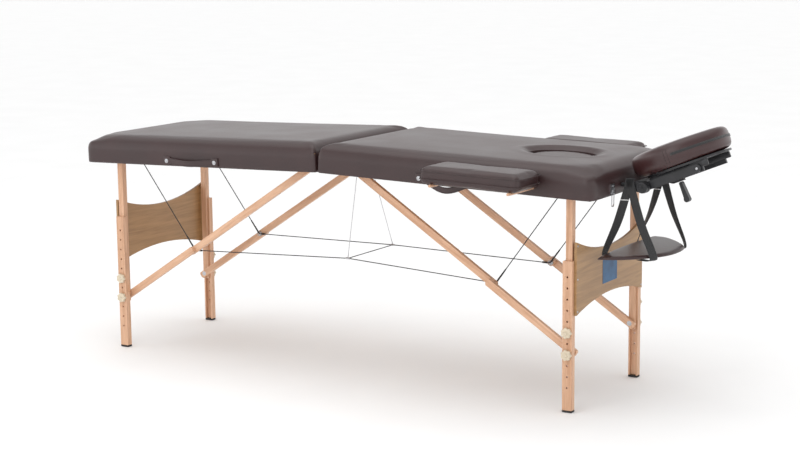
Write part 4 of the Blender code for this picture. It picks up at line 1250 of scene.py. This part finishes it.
def label():
    """A plain blue rectangle on the head panel."""
    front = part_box("head_end_panel")[1][0]
    low = (front + LABEL_GAP, LABEL_Y[0], LABEL_Z[0])
    high = (front + LABEL_GAP + LABEL_THICK, LABEL_Y[1], LABEL_Z[1])
    plate = plain_box("panel_label", low, high, LABEL)
    round_edges(plate, 0.0003)
    keep(plate, "head_legs")


def hub_details():
    """The spoked caps of the headrest's hubs, and the rivets at the arms' far ends."""
    hub = Vector(JOINTS["headrest_tilt"]["pos_m"])
    rivet = Vector(JOINTS["headrest_platform_tilt"]["pos_m"])
    for sy, word in SIDES:
        centre = hub + Vector((0, sy * HUB_Y, 0))
        line = ring_points(centre, HUB_RING_RADIUS, 28)
        ring = tube(f"hub_ring_{word}", line, 0.0020, BLACK, 8, closed=True)
        keep(ring, "headrest_base_body")
        for k, a in enumerate(turns(6)):
            reach = Vector((math.cos(a), 0, math.sin(a)))
            line = [centre + reach * (0.002 + 0.0026 * i) for i in range(5)]
            spoke = tube(f"hub_spoke_{word}_{k}", line, 0.0014, BLACK, 6)
            keep(spoke, "headrest_base_body")
        place = rivet + Vector((0, sy * ARM_RIVET_Y, 0))
        dome_screw(f"arm_rivet_{word}", place, (0, sy, 0), 0.0042, "headrest_arms_body")


def latch_details():
    """Two screws on each latch plate."""
    for sy, word in SIDES:
        for number, z in enumerate(LATCH_SCREW_Z):
            place = world(1, HALF_LENGTH + LATCH_SCREW_OUT, z, sy * LATCH_SCREW_Y)
            dome_screw(f"latch_screw_{word}_{number}", place, (1, 0, 0), 0.0028, "head_half")


# ---- floor, light, camera

def studio():
    """A pale floor, three lamps, and a soft world whose darker band draws the leather's edges."""
    bm = bmesh.new()
    bmesh.ops.create_grid(bm, x_segments=1, y_segments=1, size=30.0)
    made, nodes, links, shader = new_material("floor_pale")
    noise = texture(nodes, links, object_place(nodes), "Noise", Scale=3.0, Detail=2.0)
    two_tone(nodes, links, shader, noise.outputs["Fac"], (0.90, 0.90, 0.90), (0.92, 0.92, 0.92))
    shader.inputs["Roughness"].default_value = 0.9
    floor = finish_mesh(bm, "studio_floor", made, smooth=False)
    floor.location.z = -FLOOR_GAP
    sky = bpy.data.worlds.new("studio_world")
    sky.use_nodes = True
    nodes, links = sky.node_tree.nodes, sky.node_tree.links
    where = nodes.new("ShaderNodeTexCoord")
    parts = nodes.new("ShaderNodeSeparateXYZ")
    links.new(where.outputs["Generated"], parts.inputs["Vector"])
    white, shade = (1.0, 1.0, 1.0), (0.42, 0.42, 0.42)
    stops = [(0.0, white), (0.27, white), (0.42, shade), (0.62, shade), (0.85, white)]
    links.new(ramp(nodes, links, parts.outputs["Z"], stops), nodes["Background"].inputs["Color"])
    nodes["Background"].inputs["Strength"].default_value = WORLD_STRENGTH
    bpy.context.scene.world = sky
    for name, place, size, power in LAMPS:
        lamp = bpy.data.lights.new(name, "AREA")
        lamp.size = size
        lamp.energy = power
        made = bpy.data.objects.new(name, lamp)
        made.location = place
        aim = Vector(LAMP_TARGET) - Vector(place)
        made.rotation_euler = aim.to_track_quat("-Z", "Y").to_euler()
        bpy.context.scene.collection.objects.link(made)
    bpy.context.scene.view_settings.view_transform = "Standard"


def camera():
    """The camera at the photograph's angle."""
    data = bpy.data.cameras.new("camera")
    data.lens = CAMERA_LENS
    data.sensor_width = 36.0
    data.clip_end = 100.0
    made = bpy.data.objects.new("camera", data)
    bpy.context.scene.collection.objects.link(made)
    bpy.context.scene.camera = made
    forward = Vector(CAMERA_FORWARD).normalized()
    right = forward.cross(Vector((0, 0, 1))).normalized()
    up = right.cross(forward)
    right, up = (
        right * math.cos(CAMERA_ROLL) + up * math.sin(CAMERA_ROLL),
        up * math.cos(CAMERA_ROLL) - right * math.sin(CAMERA_ROLL),
    )
    axes = Matrix((right, up, -forward)).transposed()
    made.matrix_world = Matrix.Translation(CAMERA_PLACE) @ axes.to_4x4()


camera()
studio()
for half_name, half_sign in HALVES:
    table_top(half_name, half_sign)
face_plug()
for side_sign, side_word in SIDES:
    armrest(side_sign, side_word)
arm_shelf()
face_cushion()
sling_straps()
handle("foot", -1, *HANDLES["foot"])
handle("head", 1, *HANDLES["head"])
knees = knee_points()
cables(knees)
fasteners(knees)
label()
hub_details()
latch_details()
finish_cad()
